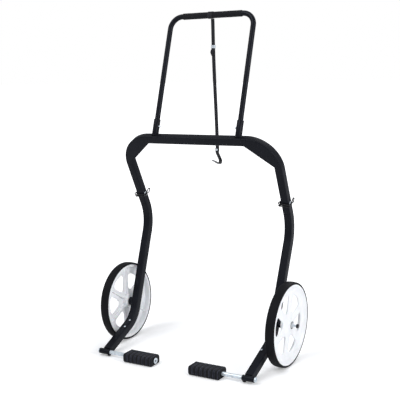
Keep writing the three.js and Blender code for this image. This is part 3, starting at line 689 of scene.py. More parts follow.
# ---------------------------------------------------------------- operators
class TROLLEY_OT_stage(bpy.types.Operator):
    """Makes the camera, the pale floor and the soft studio light"""

    bl_idname = "trolley.stage"
    bl_label = "Stage and camera"

    def execute(self, context):
        self.camera(context)
        size = 60.0
        corners = [(-size, -size, 0), (size, -size, 0), (size, size, 0), (-size, size, 0)]
        mesh = bpy.data.meshes.new("floor")
        mesh.from_pydata(corners, [], [(0, 1, 2, 3)])
        mesh.materials.append(self.floor_paint())
        floor = bpy.data.objects.new("floor", mesh)
        context.scene.collection.objects.link(floor)
        self.light("key light", (-1.4, -2.6, 4.4), 2.4, 95)
        self.light("side light", (4.4, -0.6, 2.2), 2.0, 105)
        self.light("back light", (0.3, 3.6, 3.6), 2.6, 55)
        context.scene.world = self.studio_world()
        context.scene.view_settings.view_transform = "Standard"
        context.scene.view_settings.look = "None"
        return {"FINISHED"}

    @staticmethod
    def floor_paint():
        """Pale matt paint, seen evenly bright from about a metre away from the trolley."""
        g = Graph("studio floor")
        far = g.add("VectorMath", {0: g.place.outputs["Object"]}, operation="LENGTH").outputs["Value"]
        reach = {"From Min": 0.5, "From Max": 3.2, "To Min": 0.28, "To Max": 0.95}
        glow = g.add("MapRange", {"Value": far, **reach})
        seen = g.add("LightPath").outputs["Is Camera Ray"]
        g.set(Specular_IOR_Level=0.0, Emission_Color=(1, 1, 1, 1))
        glow = g.maths("MULTIPLY", glow.outputs[0], seen)
        return g.join(color=(0.93, 0.93, 0.94, 1), rough=0.8, glow=glow)

    @staticmethod
    def studio_world():
        """A dim even room whose far wall is white where it is seen directly."""
        world = bpy.data.worlds.new("studio")
        world.use_nodes = True
        tree = world.node_tree
        wall = tree.nodes["Background"]
        wall.inputs["Color"].default_value = (1, 1, 1, 1)
        room = tree.nodes.new("ShaderNodeBackground")
        room.inputs["Color"].default_value = (0.93, 0.96, 1.0, 1)
        room.inputs["Strength"].default_value = 0.42
        seen = tree.nodes.new("ShaderNodeLightPath")
        both = tree.nodes.new("ShaderNodeMixShader")
        tree.links.new(seen.outputs["Is Camera Ray"], both.inputs[0])
        tree.links.new(room.outputs[0], both.inputs[1])
        tree.links.new(wall.outputs[0], both.inputs[2])
        tree.links.new(both.outputs[0], tree.nodes["World Output"].inputs["Surface"])
        return world

    @staticmethod
    def camera(context):
        """The view direction comes from azimuth and elevation, then the camera rolls about it."""
        azimuth, elevation, roll = 0.5293882350865412, 0.1589383024645308, -0.021723562057992408
        ahead = Vector(
            (
                -math.sin(azimuth) * math.cos(elevation),
                math.cos(azimuth) * math.cos(elevation),
                -math.sin(elevation),
            )
        )
        right = Vector((math.cos(azimuth), math.sin(azimuth), 0))
        up = right.cross(ahead)
        across = right * math.cos(roll) + up * math.sin(roll)
        above = up * math.cos(roll) - right * math.sin(roll)
        data = bpy.data.cameras.new("camera")
        sensor, focal, frame_width = 36, 806.567, 400
        data.sensor_width = sensor
        data.lens = focal / frame_width * sensor
        data.clip_end = 200
        camera = bpy.data.objects.new("camera", data)
        turn = Matrix((across, above, -ahead)).transposed().to_4x4()
        camera.matrix_world = Matrix.Translation((1.525256, -2.560166, 1.080473)) @ turn
        context.scene.collection.objects.link(camera)
        context.scene.camera = camera

    @staticmethod
    def light(name, place, size, power):
        """A square soft light that looks at the middle of the trolley."""
        data = bpy.data.lights.new(name, "AREA")
        data.size = size
        data.energy = power
        lamp = bpy.data.objects.new(name, data)
        lamp.location = place
        away = Vector(place) - Vector((0, 0, 0.6))
        lamp.rotation_euler = away.to_track_quat("Z", "Y").to_euler()
        bpy.context.scene.collection.objects.link(lamp)


class TROLLEY_OT_hook_strap(bpy.types.Operator):
    """Makes the webbing strap with its loop, buckle, tail, hook and rivet"""

    bl_idname = "trolley.hook_strap"
    bl_label = "Hook strap"

    def execute(self, context):
        sizes = settings("strap")
        wide, thick = sizes.width / MM, sizes.thickness / MM
        seat = Seat(np.eye(3), [0, 0, 0])
        weave = webbing()
        path = smooth_line(STRAP_POINTS, 8)
        profile = rounded(wide, thick, thick * 0.45, 4)
        points, faces = sweep(path, (1, 0, 0), profile)
        uv = self.uv(path, profile)
        strap = add_piece("hook_strap", [(points, faces)], seat, "handle", weave, ["strap"], uv)
        buckle = add_recast("strap_buckle", "handle", zinc_plate(), 0.0003)
        rivet = add_recast("hook_rivet", "handle", zinc_plate(), 0.0005)
        hook = self.hook()
        tail = self.tail(seat, weave, wide, thick)
        self.loop(weave)
        tuple(seat(path[0]))
        seat(path).tolist()
        return {"FINISHED"}

    @staticmethod
    def uv(path, profile):
        """u is the distance along the strap and v the distance round its section, in metres."""
        run = run_along(path)
        u = np.repeat(run[:, None], len(profile), axis=1)
        v = np.broadcast_to(profile[None, :, 0], u.shape)
        return np.stack([u, v], -1).reshape(-1, 2) * MM

    def tail(self, seat, weave, wide, thick):
        """The strap's folded end: it comes out of the buckle, bulges to one side and tucks back in."""
        x, y, z = STRAP_POINTS[5]
        fold = [
            [x, y - 2.0, z - 6.2],
            [x - 0.4, y - 2.6, z - 10],
            [x - 1.8, y - 5.4, z - 15],
            [x - 2.4, y - 6.6, z - 21],
            [x - 1.8, y - 5.0, z - 27],
            [x - 0.6, y - 2.2, z - 33],
        ]
        path = smooth_line(fold, 6)
        profile = rounded(wide - 0.6, thick * 0.9, thick * 0.4, 4)
        points, faces = sweep(path, (1, 0, 0), profile)
        return add_piece(
            "strap_tail", [(points, faces)], seat, "handle", weave, uv=self.uv(path, profile)
        )

    @staticmethod
    def loop(weave):
        """The webbing that chokes the grip: two turns side by side round the handle, each a shallow arch
        in section."""
        sizes = settings("strap")
        seat = handle_seat()
        low = sizes.grip / MM + 0.2
        parts, uvs = [], []
        for middle, half in ((LOOP_MIDDLE - 5.4, 5.3), (LOOP_MIDDLE + 5.4, 5.3)):
            across = np.linspace(-1, 1, 9)
            outer = np.stack([low + 0.9 + 0.5 * np.sqrt(1 - 0.96 * across**2), middle + half * across], -1)
            inner = np.array([[10.4, middle + half], [10.4, middle - half]])
            outline = np.concatenate([outer, inner])
            points, faces = lathe(outline, 56)
            parts.append((points + [0, 0, HANDLE_LENGTH], faces))
            angle = np.linspace(0, 2 * math.pi, 56, endpoint=False) * low
            uv = np.stack(np.broadcast_arrays(angle[None, :], outline[:, 1:]), -1)
            uvs.append(uv.reshape(-1, 2) * MM)
        uv = np.concatenate(uvs)
        add_piece("strap_wrap", parts, seat, "handle", weave, ["strap_loop"], uv, angle=50)

    @staticmethod
    def hook():
        """A flat strip bent into a J: its section narrows and thins towards the tip, and its edges are
        round."""
        end = STRAP_POINTS[-1]
        x, y, top = end[0], end[1] - 1 - 0.6 - 1.5, end[2] + 15
        corners = [(x, y, top), (x, y, top - 18), (x, y + 46, top - 76), (x, y - 39, top - 44)]
        route = bent_route(corners, [14, 10], 14, 3.0)
        path = with_ends(route, (0.1, 0.35, 0.8))
        run = run_along(path)
        taper = 1 - 0.42 * np.clip((run / run[-1] - 0.62) / 0.38, 0, 1) ** 1.5
        scale = np.stack([0.99 * taper, np.ones(len(run))], -1) * ends_in(path, 1.5, 1.1)
        part = sweep(path, (1, 0, 0), rounded(15, 3, 1.0, 5), scale)
        seat = Seat(np.eye(3), [0, 0, 0])
        return add_piece("j_hook", [part], seat, "handle", hook_coat(), ["strap_hook"])


def hook_coat():
    """The hook's black coat, worn to bright steel at its tip."""
    if "hook coat" in bpy.data.materials:
        return bpy.data.materials["hook coat"]
    sizes = settings("tube")
    g = Graph("hook coat")
    along = g.add("SeparateXYZ", {"Vector": g.place.outputs["Object"]}).outputs["Y"]
    tip = g.add("MapRange", {"Value": along, "From Min": 0.162, "From Max": 0.142}).outputs[0]
    worn = g.maths("MULTIPLY", tip, g.spread(g.noise(120, 4), 0.35, 1.0))
    color = g.mix(worn, shade(sizes.coat, 0.9), (0.42, 0.43, 0.45))
    rough = g.spread(g.noise(60, 3), 0.3, 0.45)
    return g.join(color=color, rough=rough, metal=g.maths("MULTIPLY", worn, 0.9))


class TROLLEY_OT_legs(bpy.types.Operator):
    """Makes the bent lower legs"""

    bl_idname = "trolley.legs"
    bl_label = "Lower legs"

    def execute(self, context):
        sizes = settings("tube")
        wide = sizes.side / MM
        foot = unit(ELBOW - FOOT_END)
        start = FOOT_END - foot * 1.5
        corners = [np.array([0, *point]) for point in (start, ELBOW, KNEE, JOINT)]
        path = with_ends(bent_route(corners, [110, 150], 26, 12), END_STEPS)
        profile = rounded(wide, wide, sizes.corner / MM, 6)
        scale = ends_in(path, wide / 2, 1.0)
        spigot = np.array([[0, *JOINT], [0, *(JOINT + 12 * UP_LEG)]])
        core = sweep(spigot, (1, 0, 0), rounded(25, 25, 2, 4))
        for side, label in SIDES:
            parts = [sweep(path, (1, 0, 0), profile, scale), core]
            coat, shown = powder_coat(), [f"lower_leg_{label}"]
            add_piece(f"leg_tube_{label}", parts, leg_seat(side), "frame", coat, shown)
        return {"FINISHED"}


class TROLLEY_OT_upper_frame(bpy.types.Operator):
    """Makes the top bar, the gusseted corners and the upper legs"""

    bl_idname = "trolley.upper_frame"
    bl_label = "Upper frame"
    BAR_SEAM = 202.0  # where the bar meets the corner
    BRACE_START = 205.0  # where the slope leaves the bar
    BRACE_DROP = 84.0  # how far the slope falls
    BEND = 126.0  # the corner's outer arc
    TUBE_HALF = 15.0

    def execute(self, context):
        sizes = settings("tube")
        wide, edge = sizes.side / MM, sizes.corner / MM
        seat = upper_seat()
        profile = rounded(wide, wide, edge, 6)
        end, count = self.BAR_SEAM + 0.2, 40
        bar = np.stack([np.linspace(-end, end, count), np.zeros(count), np.full(count, BAR_RISE)], -1)
        self.add("top_bar", sweep(bar, (0, 0, 1), profile), seat, "upper_bar")
        for side, label in SIDES:
            low = self.leg_x(0, side), 0, 0.3
            high = self.leg_x(self.corner_low(), side), 0, self.corner_low() + 0.2
            leg = with_ends(np.linspace(low, high, 14), END_STEPS)
            scale = ends_in(leg, wide / 2, 1.0)
            scale[len(scale) // 2 :] = 1
            tube = sweep(leg, (1, 0, 0), profile, scale)
            self.add(f"upper_leg_{label}", tube, seat, f"upper_tube_{label}")
            self.add(f"corner_{label}", self.corner(side, wide, edge), seat, f"bent_corner_{label}")
        return {"FINISHED"}

    @staticmethod
    def add(node, part, seat, name):
        add_piece(name, [part], seat, "frame", powder_coat(), [node])

    @staticmethod
    def leg_x(height, side=1):
        return side * (JOINT_X + math.tan(UPPER_SLOPE) * height)

    def corner_low(self):
        """Height of the seam under the corner."""
        arc = BAR_RISE + self.TUBE_HALF - self.BEND
        brace = BAR_RISE - self.TUBE_HALF - self.BRACE_DROP
        return min(brace, arc - self.BEND * math.sin(UPPER_SLOPE)) - 3

    def outline(self, inset, wide):
        """The corner seen from the front: the bar's lower edge, the slope, the leg's inner edge, the seam,
        and the outer arc back to the bar, all pulled in by the inset except the two seams."""
        low, bar_low, bar_top = self.corner_low(), BAR_RISE - wide / 2, BAR_RISE + wide / 2
        half = wide / 2 / math.cos(UPPER_SLOPE) - inset
        seam, start, bend = self.BAR_SEAM, self.BRACE_START, self.BEND
        brace_low = bar_low - self.BRACE_DROP
        turn = math.atan2(self.BRACE_DROP, self.leg_x(brace_low) - half - start)
        arc = bar_top - bend
        centre = self.leg_x(arc) + (wide / 2 - bend) / math.cos(UPPER_SLOPE)
        first = [
            [seam, bar_low + inset],
            [start + inset * math.tan(turn / 2), bar_low + inset],
            [self.leg_x(brace_low) - half, brace_low + inset * math.tan((math.pi / 2 - turn) / 2)],
            [self.leg_x(low) - half, low],
            [self.leg_x(low) + half, low],
        ]
        angle = np.linspace(-UPPER_SLOPE, math.pi / 2, 40)
        radius = bend - inset
        curve = np.stack([centre + radius * np.cos(angle), arc + radius * np.sin(angle)], -1)
        return np.concatenate([first, curve, [[seam, bar_top - inset]]])

    def corner(self, side, wide, edge):
        """Outlines stacked from front to back; near each face the inset grows along a quarter circle."""
        angle = np.linspace(0, math.pi / 2, 6)
        inset = edge * (1 - np.sin(angle))
        depth = wide / 2 - edge * (1 - np.cos(angle))
        inset = np.concatenate([inset, inset[::-1]])
        depth = np.concatenate([-depth, depth[::-1]])
        rings = np.stack([self.outline(i, wide) for i in inset])
        y = np.broadcast_to(depth[:, None], rings.shape[:2])
        points = np.stack([side * rings[..., 0], y, rings[..., 1]], -1)
        rows, columns = rings.shape[:2]
        faces = grid_faces(rows, columns, close_columns=True) + end_faces(rows, columns)
        return points.reshape(-1, 3), faces


class TROLLEY_OT_wheels(bpy.types.Operator):
    """Makes the tyres and the spoked plastic hubs"""

    bl_idname = "trolley.wheels"
    bl_label = "Wheels"
    OPENING_IN = 50.0
    OPENING_OUT = 112.0
    SPOKE_TURN = (28, 20)  # degrees, left and right
    BUSH_RADIUS = 13.5
    SHADE_RING_BORE = 10.9
    TYRE_THICK = 8.6

    def execute(self, context):
        for (side, label), turn in zip(SIDES, self.SPOKE_TURN):
            seat = leg_seat(side, AXLE_Z)
            body = f"wheel_{label}"
            tyre = [lathe(self.tyre_section(), 120)]
            rubber, stands_for = tyre_rubber(), [f"tyre_{label}"]
            add_piece(f"tyre_ring_{label}", tyre, seat, body, rubber, stands_for)
            hub, white, stands_for = [self.hub(math.radians(turn))], wheel_plastic(), [f"wheel_hub_{label}"]
            add_piece(f"spoked_hub_{label}", hub, seat, body, white, stands_for, angle=42)
            pale = plain_plastic("bush plastic", (0.52, 0.54, 0.57), 0.35, 0.5)
            bush = [lathe(self.bush_section(), 48)]
            add_piece(f"bush_{label}", bush, seat, body, pale, [f"hub_bush_{label}"])
            # Painted shade: a black ring round the bush's collar, where only the shadow in the groove
            # between hub and bush falls.
            bore, rim, face = self.SHADE_RING_BORE, self.BUSH_RADIUS, TYRE_OUT + 1.7
            shade_ring = [lathe([[bore, TYRE_OUT], [rim, TYRE_OUT], [rim, face], [bore, face]], 48)]
            add_piece(f"painted_shade_ring_{label}", shade_ring, seat, body, black_plastic())
        return {"FINISHED"}

    def tyre_section(self):
        """A low crown between two round shoulders, with a shallow groove beside each shoulder."""
        radius = settings("wheel").radius / MM
        inner = radius - self.TYRE_THICK
        shoulder = 5.0
        angle = np.linspace(0, math.pi / 2, 7)
        low = [[inner, TYRE_IN + 0.8], [inner + 1.6, TYRE_IN + 0.2], [inner + 2.0, TYRE_IN]]
        out = radius - 0.9 - shoulder + shoulder * np.sin(angle)
        first = np.stack([out, TYRE_IN + shoulder * (1 - np.cos(angle))], -1)
        across = np.linspace(TYRE_IN + shoulder, TYRE_OUT - shoulder, 33)[1:-1]
        middle = (TYRE_IN + TYRE_OUT) / 2
        share = (across - middle) / (middle - TYRE_IN - shoulder)
        groove = sum(0.55 * np.exp(-(((across - middle - s * 8.2) / 0.7) ** 2)) for s in (-1, 1))
        crown = np.stack([radius - 0.9 * share**2 - groove, across], -1)
        mirrored = first[::-1].copy()
        mirrored[:, 1] = TYRE_IN + TYRE_OUT - mirrored[:, 1]
        high = [[p[0], TYRE_IN + TYRE_OUT - p[1]] for p in reversed(low)]
        return np.concatenate([low, first, crown, mirrored, high])

    def bush_section(self):
        """A sleeve that narrows to a rounded collar, which the black painted-shade ring sits round."""
        out, bore = TYRE_OUT, 4.9
        return [
            [bore, TYRE_IN + 0.4],
            [self.BUSH_RADIUS, TYRE_IN + 0.4],
            [self.BUSH_RADIUS, out],
            [self.SHADE_RING_BORE, out],
            [10.8, out + 2.8],
            [10.2, out + 3.3],
            [9.4, out + 3.5],
            [bore, out + 3.5],
        ]

    def stations(self):
        """Radius, half angle and front and back face of each ring of the spoke sheet, from the bore out.
        Between the openings the half angle falls from the full sector to the spoke's own along a rounded
        end."""
        sizes = settings("wheel")
        full = math.pi / sizes.spokes
        half = sizes.spoke / MM / 2
        squareness, ends = 3.2, (15.0, 20.0)
        turn = np.linspace(0, math.pi / 2, 11)
        rise = np.sin(turn) ** (2 / squareness)
        fall = 1 - np.cos(turn) ** (2 / squareness)
        inner = self.OPENING_IN + ends[0] * fall
        outer = (self.OPENING_OUT - ends[1] * fall)[::-1]
        middle = np.linspace(inner[-1], outer[0], 8)[1:-1]
        radius = np.concatenate([inner, middle, outer])
        share = np.concatenate([rise, np.ones(len(middle)), rise[::-1]])
        own = np.arcsin(half / radius)
        angle = own * share + full * (1 - share)
        return radius, angle, full

    def hub(self, turn):
        """One sector is a sheet with a front and a back face; the sectors are turned copies whose edges
        meet outside the openings, and short walls join the two faces round each opening."""
        open_radius, open_angle, full = self.stations()
        before = np.array([13.8, 15.5, 18, 20.5, 22, 23.2, 24.2, 25.4, 27.5, 31, 36, 41, 45, 47.5, 49.2])
        after = np.array([113, 115, 119, 125, 131, 134.5, 136.5, 138.6, 139.6, 141, 142.2])
        radius = np.concatenate([before, open_radius, after])
        angle = np.concatenate([np.full(len(before), full), open_angle, np.full(len(after), full)])
        front = self.front(radius)
        back = self.back(radius)
        columns = self.columns(radius, angle)
        edge = self.edge_distance(radius, columns, open_radius, open_angle)
        round_off = 2.2
        drop = round_off - np.sqrt(round_off**2 - np.clip(round_off - edge, 0, round_off) ** 2)
        arch = 1.3 * np.clip(1 - edge / 14, 0, 1) ** 2
        x_front = front[:, None] - drop - arch
        rib = self.rib(radius, columns)
        x_back = np.minimum(back[:, None] - rib + 0.6 * drop, x_front - 1.2)
        rim = np.array([[148.4, 0.9], [148.6, 1.6], [148.6, TYRE_OUT - TYRE_IN - 1.6], [148.4, 34.4]])
        count = columns.shape[1]
        outside_r = [[143.4, TYRE_OUT - 0.6], [147.8, TYRE_OUT - 0.6]]
        outside_r += [[r, TYRE_OUT - x] for r, x in rim]
        outside_r += [[147.8, TYRE_IN + 0.6], [140.4, TYRE_IN + 0.6], [139.6, TYRE_IN + 1.4]]
        outside = np.array(outside_r)
        outside_angle = columns[-1][None].repeat(len(outside), 0)
        inside = radius > 139.5
        back_radius = radius[~inside][::-1]
        low = TYRE_IN + 1
        barrel = np.array([[24.6, TYRE_IN + 4], [24.0, TYRE_IN + 1.6], [23.2, low], [13.8, low]])
        deep = back_radius > 26.5
        loop_r = np.concatenate([radius, outside[:, 0], back_radius[deep], barrel[:, 0]])
        loop_x = np.concatenate(
            [
                x_front,
                np.repeat(outside[:, 1:], count, 1),
                x_back[~inside][::-1][deep],
                np.repeat(barrel[:, 1:], count, 1),
            ]
        )
        loop_a = np.concatenate(
            [
                columns,
                outside_angle,
                columns[~inside][::-1][deep],
                columns[0][None].repeat(len(barrel), 0),
            ]
        )
        points = np.stack([loop_x, loop_r[:, None] * np.cos(loop_a), loop_r[:, None] * np.sin(loop_a)], -1)
        rows = len(loop_r)
        faces = grid_faces(rows, count, close_rows=True)
        first = len(before)
        partner = {}
        for i in range(first, first + len(open_radius)):
            partner[i] = len(radius) + len(outside) + int(np.flatnonzero(back_radius == radius[i])[0])
        for i in range(first, first + len(open_radius) - 1):
            for j in (0, count - 1):
                faces.append([row * count + j for row in (i, i + 1, partner[i + 1], partner[i])])
        sector_points, sector_faces = points.reshape(-1, 3), faces
        all_points, all_faces = [], []
        for k in range(settings("wheel").spokes):
            spin = turned(x=turn + 2 * full * k)
            all_points.append(sector_points @ spin.T)
            all_faces += [[index + k * rows * count for index in face] for face in sector_faces]
        return np.concatenate(all_points), all_faces

    @staticmethod
    def columns(radius, angle):
        """Angles across a sector: two lines at a fixed distance from the middle, lines at fixed distances
        from the edge, and even shares between them."""
        core = np.array([0, 1.5, 2.4])
        rim = np.array([2.2, 1.3, 0.5, 0.12, 0])
        inner = core[None, :] / radius[:, None]
        outer = angle[:, None] - rim[None, :] / radius[:, None]
        share = np.array([0.2, 0.45, 0.72])[None, :]
        between = inner[:, -1:] * (1 - share) + outer[:, :1] * share
        half = np.concatenate([inner, between, outer], 1)
        return np.concatenate([-half[:, :0:-1], half], 1)

    def edge_distance(self, radius, columns, open_radius, open_angle):
        """The nearer of the distances to the opening's edge round the wheel and along the radius."""
        bent = np.abs(columns)
        within = (radius >= self.OPENING_IN) & (radius <= self.OPENING_OUT)
        limit = np.interp(radius, open_radius, open_angle)
        sideways = np.where(within[:, None], (limit[:, None] - bent) * radius[:, None], 1e3)
        half = len(open_radius) // 2
        near = np.interp(bent, open_angle[:half][::-1], open_radius[:half][::-1], left=1e3)
        far = np.interp(bent, open_angle[half:], open_radius[half:], left=-1e3)
        inward = np.where(radius[:, None] < near, near - radius[:, None], 1e3)
        outward = np.where(radius[:, None] > far, radius[:, None] - far, 1e3)
        lengthways = np.where(radius[:, None] < 80, inward, outward)
        return np.clip(np.minimum(sideways, np.abs(lengthways)), 0, 1e3)

    @staticmethod
    def front(radius):
        """The dished front: a raised hub face, a fall to the dish's floor and a rise to the rim."""
        stops = [13.8, 20.5, 22.0, 23.2, 24.2, 27.5, 36, 50, 112, 131, 136.5, 139.6, 142.2]
        heights = [1.5, 1.5, 1.1, 0.0, -1.6, -4.2, -7.4, -9.6, -11.0, -10.2, -6.4, -2.6, -0.9]
        return TYRE_OUT + np.interp(radius, stops, heights)

    @staticmethod
    def back(radius):
        return TYRE_OUT + np.interp(radius, [24, 27, 50, 112, 139.6], [-17, -16.5, -15.4, -15, -13.5])

    @staticmethod
    def rib(radius, columns):
        """A thin rib behind each spoke, deepest at the hub."""
        height = np.interp(radius, [24, 27, 60, 120, 139.6], [12, 12, 9, 8, 10])
        away = np.abs(columns) * radius[:, None]
        return height[:, None] * np.clip((2.4 - away) / 0.9, 0, 1)


class TROLLEY_OT_feet(bpy.types.Operator):
    """Makes the foot collars, the pegs, their washers and the ribbed pads"""

    bl_idname = "trolley.feet"
    bl_label = "Feet, pegs and pads"

    def execute(self, context):
        for side, label in SIDES:
            seat = peg_seat(side)
            inner = PAD_INNER - FOOT_TRACK - math.tan(SPLAY) * PEG_Z
            body = f"peg_{label}"
            collar = [lathe(self.tube_section(8.0, 10.6, COLLAR_IN, COLLAR_OUT, 0.9), 56)]
            coat, stands_for = powder_coat(), [f"foot_collar_{label}"]
            add_piece(f"collar_{label}", collar, seat, "frame", coat, stands_for)
            rod = [lathe(self.tube_section(4.6, 7.6, inner, COLLAR_OUT + 5, 0.7), 48)]
            add_piece(f"rod_{label}", rod, seat, body, zinc_plate(), [f"peg_rod_{label}"])
            nut = [lathe(self.tube_section(7.9, 9.6, COLLAR_OUT + 0.3, COLLAR_OUT + 5, 0.8), 48)]
            add_piece(f"end_ring_{label}", nut, seat, body, zinc_plate(), [f"peg_nut_{label}"])
            washer = [lathe(self.tube_section(5.0, 11.0, inner - 3.3, inner - 0.3, 0.5), 48)]
            add_piece(f"washer_{label}", washer, seat, body, zinc_plate(), [f"peg_washer_{label}"])
            points, faces, rib_highlight_uv = self.pad(inner)
            add_piece(
                f"ribbed_pad_{label}",
                [(points, faces)],
                seat,
                body,
                ribbed_rubber(),
                [f"peg_pad_{label}"],
                uv=rib_highlight_uv,
                angle=50,
            )
            add_recast(f"peg_screw_{label}", "frame", black_plastic(), 0.0009)
        return {"FINISHED"}

    @staticmethod
    def tube_section(bore, radius, start, stop, edge):
        """A tube's section with its four edges rounded by quarter circles."""
        angle = np.linspace(0, math.pi / 2, 4)
        arcs = []
        for centre, first in (
            ((radius - edge, stop - edge), 0),
            ((bore + edge, stop - edge), 1),
            ((bore + edge, start + edge), 2),
            ((radius - edge, start + edge), 3),
        ):
            turn = angle + first * math.pi / 2
            arcs.append(np.array(centre) + edge * np.stack([np.cos(turn), np.sin(turn)], -1))
        return np.concatenate(arcs)

    @staticmethod
    def pad(inner):
        """Rounded rectangles along the peg; between the ribs the section is pulled in by a smooth groove,
        and it rounds off at both ends. The second value of the returned UV map is the painted highlight's
        mask: 1 on a rib's shoulder, falling off as a bell curve on both sides of it."""
        sizes = settings("pad")
        wide, high = sizes.width / MM, sizes.height / MM
        run = np.linspace(0, PAD_LENGTH, 176)
        pitch = (PAD_LENGTH - 2) / sizes.ribs
        phase = ((run - 1) / pitch) % 1
        rise = np.clip(np.minimum(phase, 1 - phase) / 0.17, 0, 1)
        groove = 2.6 * (1 - rise * rise * (3 - 2 * rise))
        away = np.minimum(run, PAD_LENGTH - run)
        ends = 2.5 - np.sqrt(2.5**2 - np.clip(2.5 - away, 0, 2.5) ** 2)
        inset = np.maximum(groove, ends + 0.4)
        outward = unit(rounded(2, 2, 1, 10))
        base = rounded(wide, high, 11, 10)
        rings = base[None] - inset[:, None, None] * outward[None]
        points = np.stack(
            [np.broadcast_to((inner + run)[:, None], rings.shape[:2]), rings[..., 0], rings[..., 1]], -1
        )
        rows, columns = rings.shape[:2]
        faces = grid_faces(rows, columns, close_columns=True) + end_faces(rows, columns)
        # Mask of the painted highlight on each rib's shoulder, handed to the pad material through the UV
        # map.
        shoulder = np.exp(-(((np.minimum(phase, 1 - phase) - 0.15) / 0.035) ** 2))
        rib_highlight_uv = np.stack([np.zeros_like(shoulder), shoulder], -1).repeat(columns, axis=0)
        return points.reshape(-1, 3), faces, rib_highlight_uv


class TROLLEY_OT_handle(bpy.types.Operator):
    """Makes the hooped handle tube, the foam grips and the sockets' welds"""

    bl_idname = "trolley.handle"
    bl_label = "Handle"

    def execute(self, context):
        sizes = settings("tube")
        seat = handle_seat()
        corners = [
            (-HANDLE_HALF, 0, 23),
            (-HANDLE_HALF, 0, HANDLE_LENGTH),
            (HANDLE_HALF, 0, HANDLE_LENGTH),
            (HANDLE_HALF, 0, 23),
        ]
        path = bent_route(corners, [HANDLE_BEND, HANDLE_BEND], 26, 15)
        hoop = sweep(path, (0, 1, 0), ring_profile(sizes.handle / MM, 32))
        add_piece("handle_hoop", [hoop], seat, "handle", powder_coat(), ["handle_tube"])
        left = self.grip(-GRIP_HALF, LOOP_MIDDLE - LOOP_HALF - 0.3)
        right = self.grip(LOOP_MIDDLE + LOOP_HALF + 0.3, GRIP_HALF)
        for label, part in (("left", left), ("right", right)):
            foam, stands_for = foam_skin(), [f"foam_grip_{label}"]
            name = f"grip_{label}"
            grip = add_piece(name, [part], seat, "handle", foam, stands_for, angle=60)
        for side, label in SIDES:
            add_recast(f"handle_socket_{label}", "frame", powder_coat(), 0.0007)
            self.weld(side, label)
        return {"FINISHED"}

    @staticmethod
    def grip(start, stop):
        """A foam sleeve: its radius swells by a few tenths in slow waves and rounds off at both ends."""
        radius = settings("strap").grip / MM
        run = np.concatenate([[0, 0.15, 0.5, 1.1, 2.0], np.linspace(3, stop - start - 3, 40)])
        run = np.concatenate([run, (stop - start) - np.array([2.0, 1.1, 0.5, 0.15, 0])])
        away = np.minimum(run, stop - start - run)
        edge = 2.0 - np.sqrt(4.0 - np.clip(2.0 - away, 0, 2.0) ** 2)
        swell = 0.10 * np.sin(run / 9.0) + 0.07 * np.sin(run / 3.7 + 1)
        outer = np.stack([radius + swell - edge * 0.8, start + run], -1)
        inner = np.array([[10.5, stop], [10.5, start]])
        points, faces = lathe(np.concatenate([outer, inner]), 48)
        return points + [0, 0, HANDLE_LENGTH], faces

    @staticmethod
    def weld(side, label):
        """A rippled bead round the socket where it meets the bar: a small ring whose radius swells at each
        pool of the weld."""
        angle = np.linspace(0, 2 * math.pi, 144, endpoint=False)
        lift = 17.6 - np.abs(np.sin(angle)) * 6.5
        path = np.stack([side * HANDLE_HALF + 12.9 * np.cos(angle), 12.9 * np.sin(angle), lift], -1)
        pool = 1 + 0.22 * np.abs(np.sin(angle * 14))
        scale = np.stack([pool, pool], -1)
        outward = np.stack([np.cos(angle), np.sin(angle), np.zeros_like(angle)], -1)
        part = sweep(path, outward, ring_profile(1.7, 10), scale, closed=True)
        add_piece(f"socket_weld_{label}", [part], handle_seat(), "frame", powder_coat())


class TROLLEY_OT_lock_pins(bpy.types.Operator):
    """Makes the lock pins and the wire bails that hold them"""

    bl_idname = "trolley.lock_pins"
    bl_label = "Lock pins"

    def execute(self, context):
        wire = plain_plastic("bail coat", (0.007, 0.007, 0.009), 0.35, 0.5)
        for side, label in SIDES:
            path = smooth_line(self.bail(), 7, 0.4, closed=True)
            middle = path.mean(0)
            outward = unit(path - middle)
            part = sweep(path, outward, ring_profile(2.0, 12), closed=True)
            name, stands_for = f"bail_{label}", [f"wire_bail_{label}"]
            add_piece(name, [part], lock_seat(side), name, wire, stands_for)
            pin = add_recast(f"lock_pin_{label}", "frame", pin_steel(), 0.0008)
            self.mark_head(pin, side)
            add_recast(f"pin_eyelet_{label}", "frame", zinc_plate(), 0.0005)
        return {"FINISHED"}

    @staticmethod
    def mark_head(pin, side):
        """Gives every point of the pin 1 on its head, which is left of the leg, and 0 elsewhere."""
        points = np.empty((len(pin.data.vertices), 3), np.float32)
        pin.data.vertices.foreach_get("co", points.ravel())
        middle = side * (JOINT_X + math.tan(UPPER_SLOPE) * PIN_RISE)
        head = (points[:, 0] < (middle - 15.3) * MM).astype(np.float32)
        pin.data.attributes.new("head", "FLOAT", "POINT").data.foreach_set("value", head)

    @staticmethod
    def bail():
        """One strand from the pin's head round the leg's front and over the tip, then the other strand
        back: each strand is a middle line, a half gap and a lift."""
        hole, front, side = -20.5, -19.3, 20.1
        root, tip = 8.9, 2.1
        arm = np.array(
            [
                [hole, 0, 4, 0],
                [hole, -0.6, root - 0.8, 0],
                [hole - 1, -4, root - 0.4, 0],
                [hole - 7, -12, 5.4, 0.5],
                [hole, front, 4.4, 1.5],
                [hole + 8, front, 4.4, 2],
                [0, front, 4.2, 2],
                [side - 7, front, 4, 1],
                [side, front + 7, tip + 1, 0],
                [side, -4, tip, 0],
                [side, 6, tip + 0.5, 1],
                [side, 17, tip + 4.5, 2.5],
                [side - 1, 26, tip + 2.5, 3.5],
            ]
        )
        upper = np.stack([arm[:, 0], arm[:, 1], arm[:, 3] + arm[:, 2]], -1)
        lower = np.stack([arm[:, 0], arm[:, 1], arm[:, 3] - arm[:, 2]], -1)[::-1]
        return np.concatenate([upper, [[side - 1.5, 32, 4]], lower])


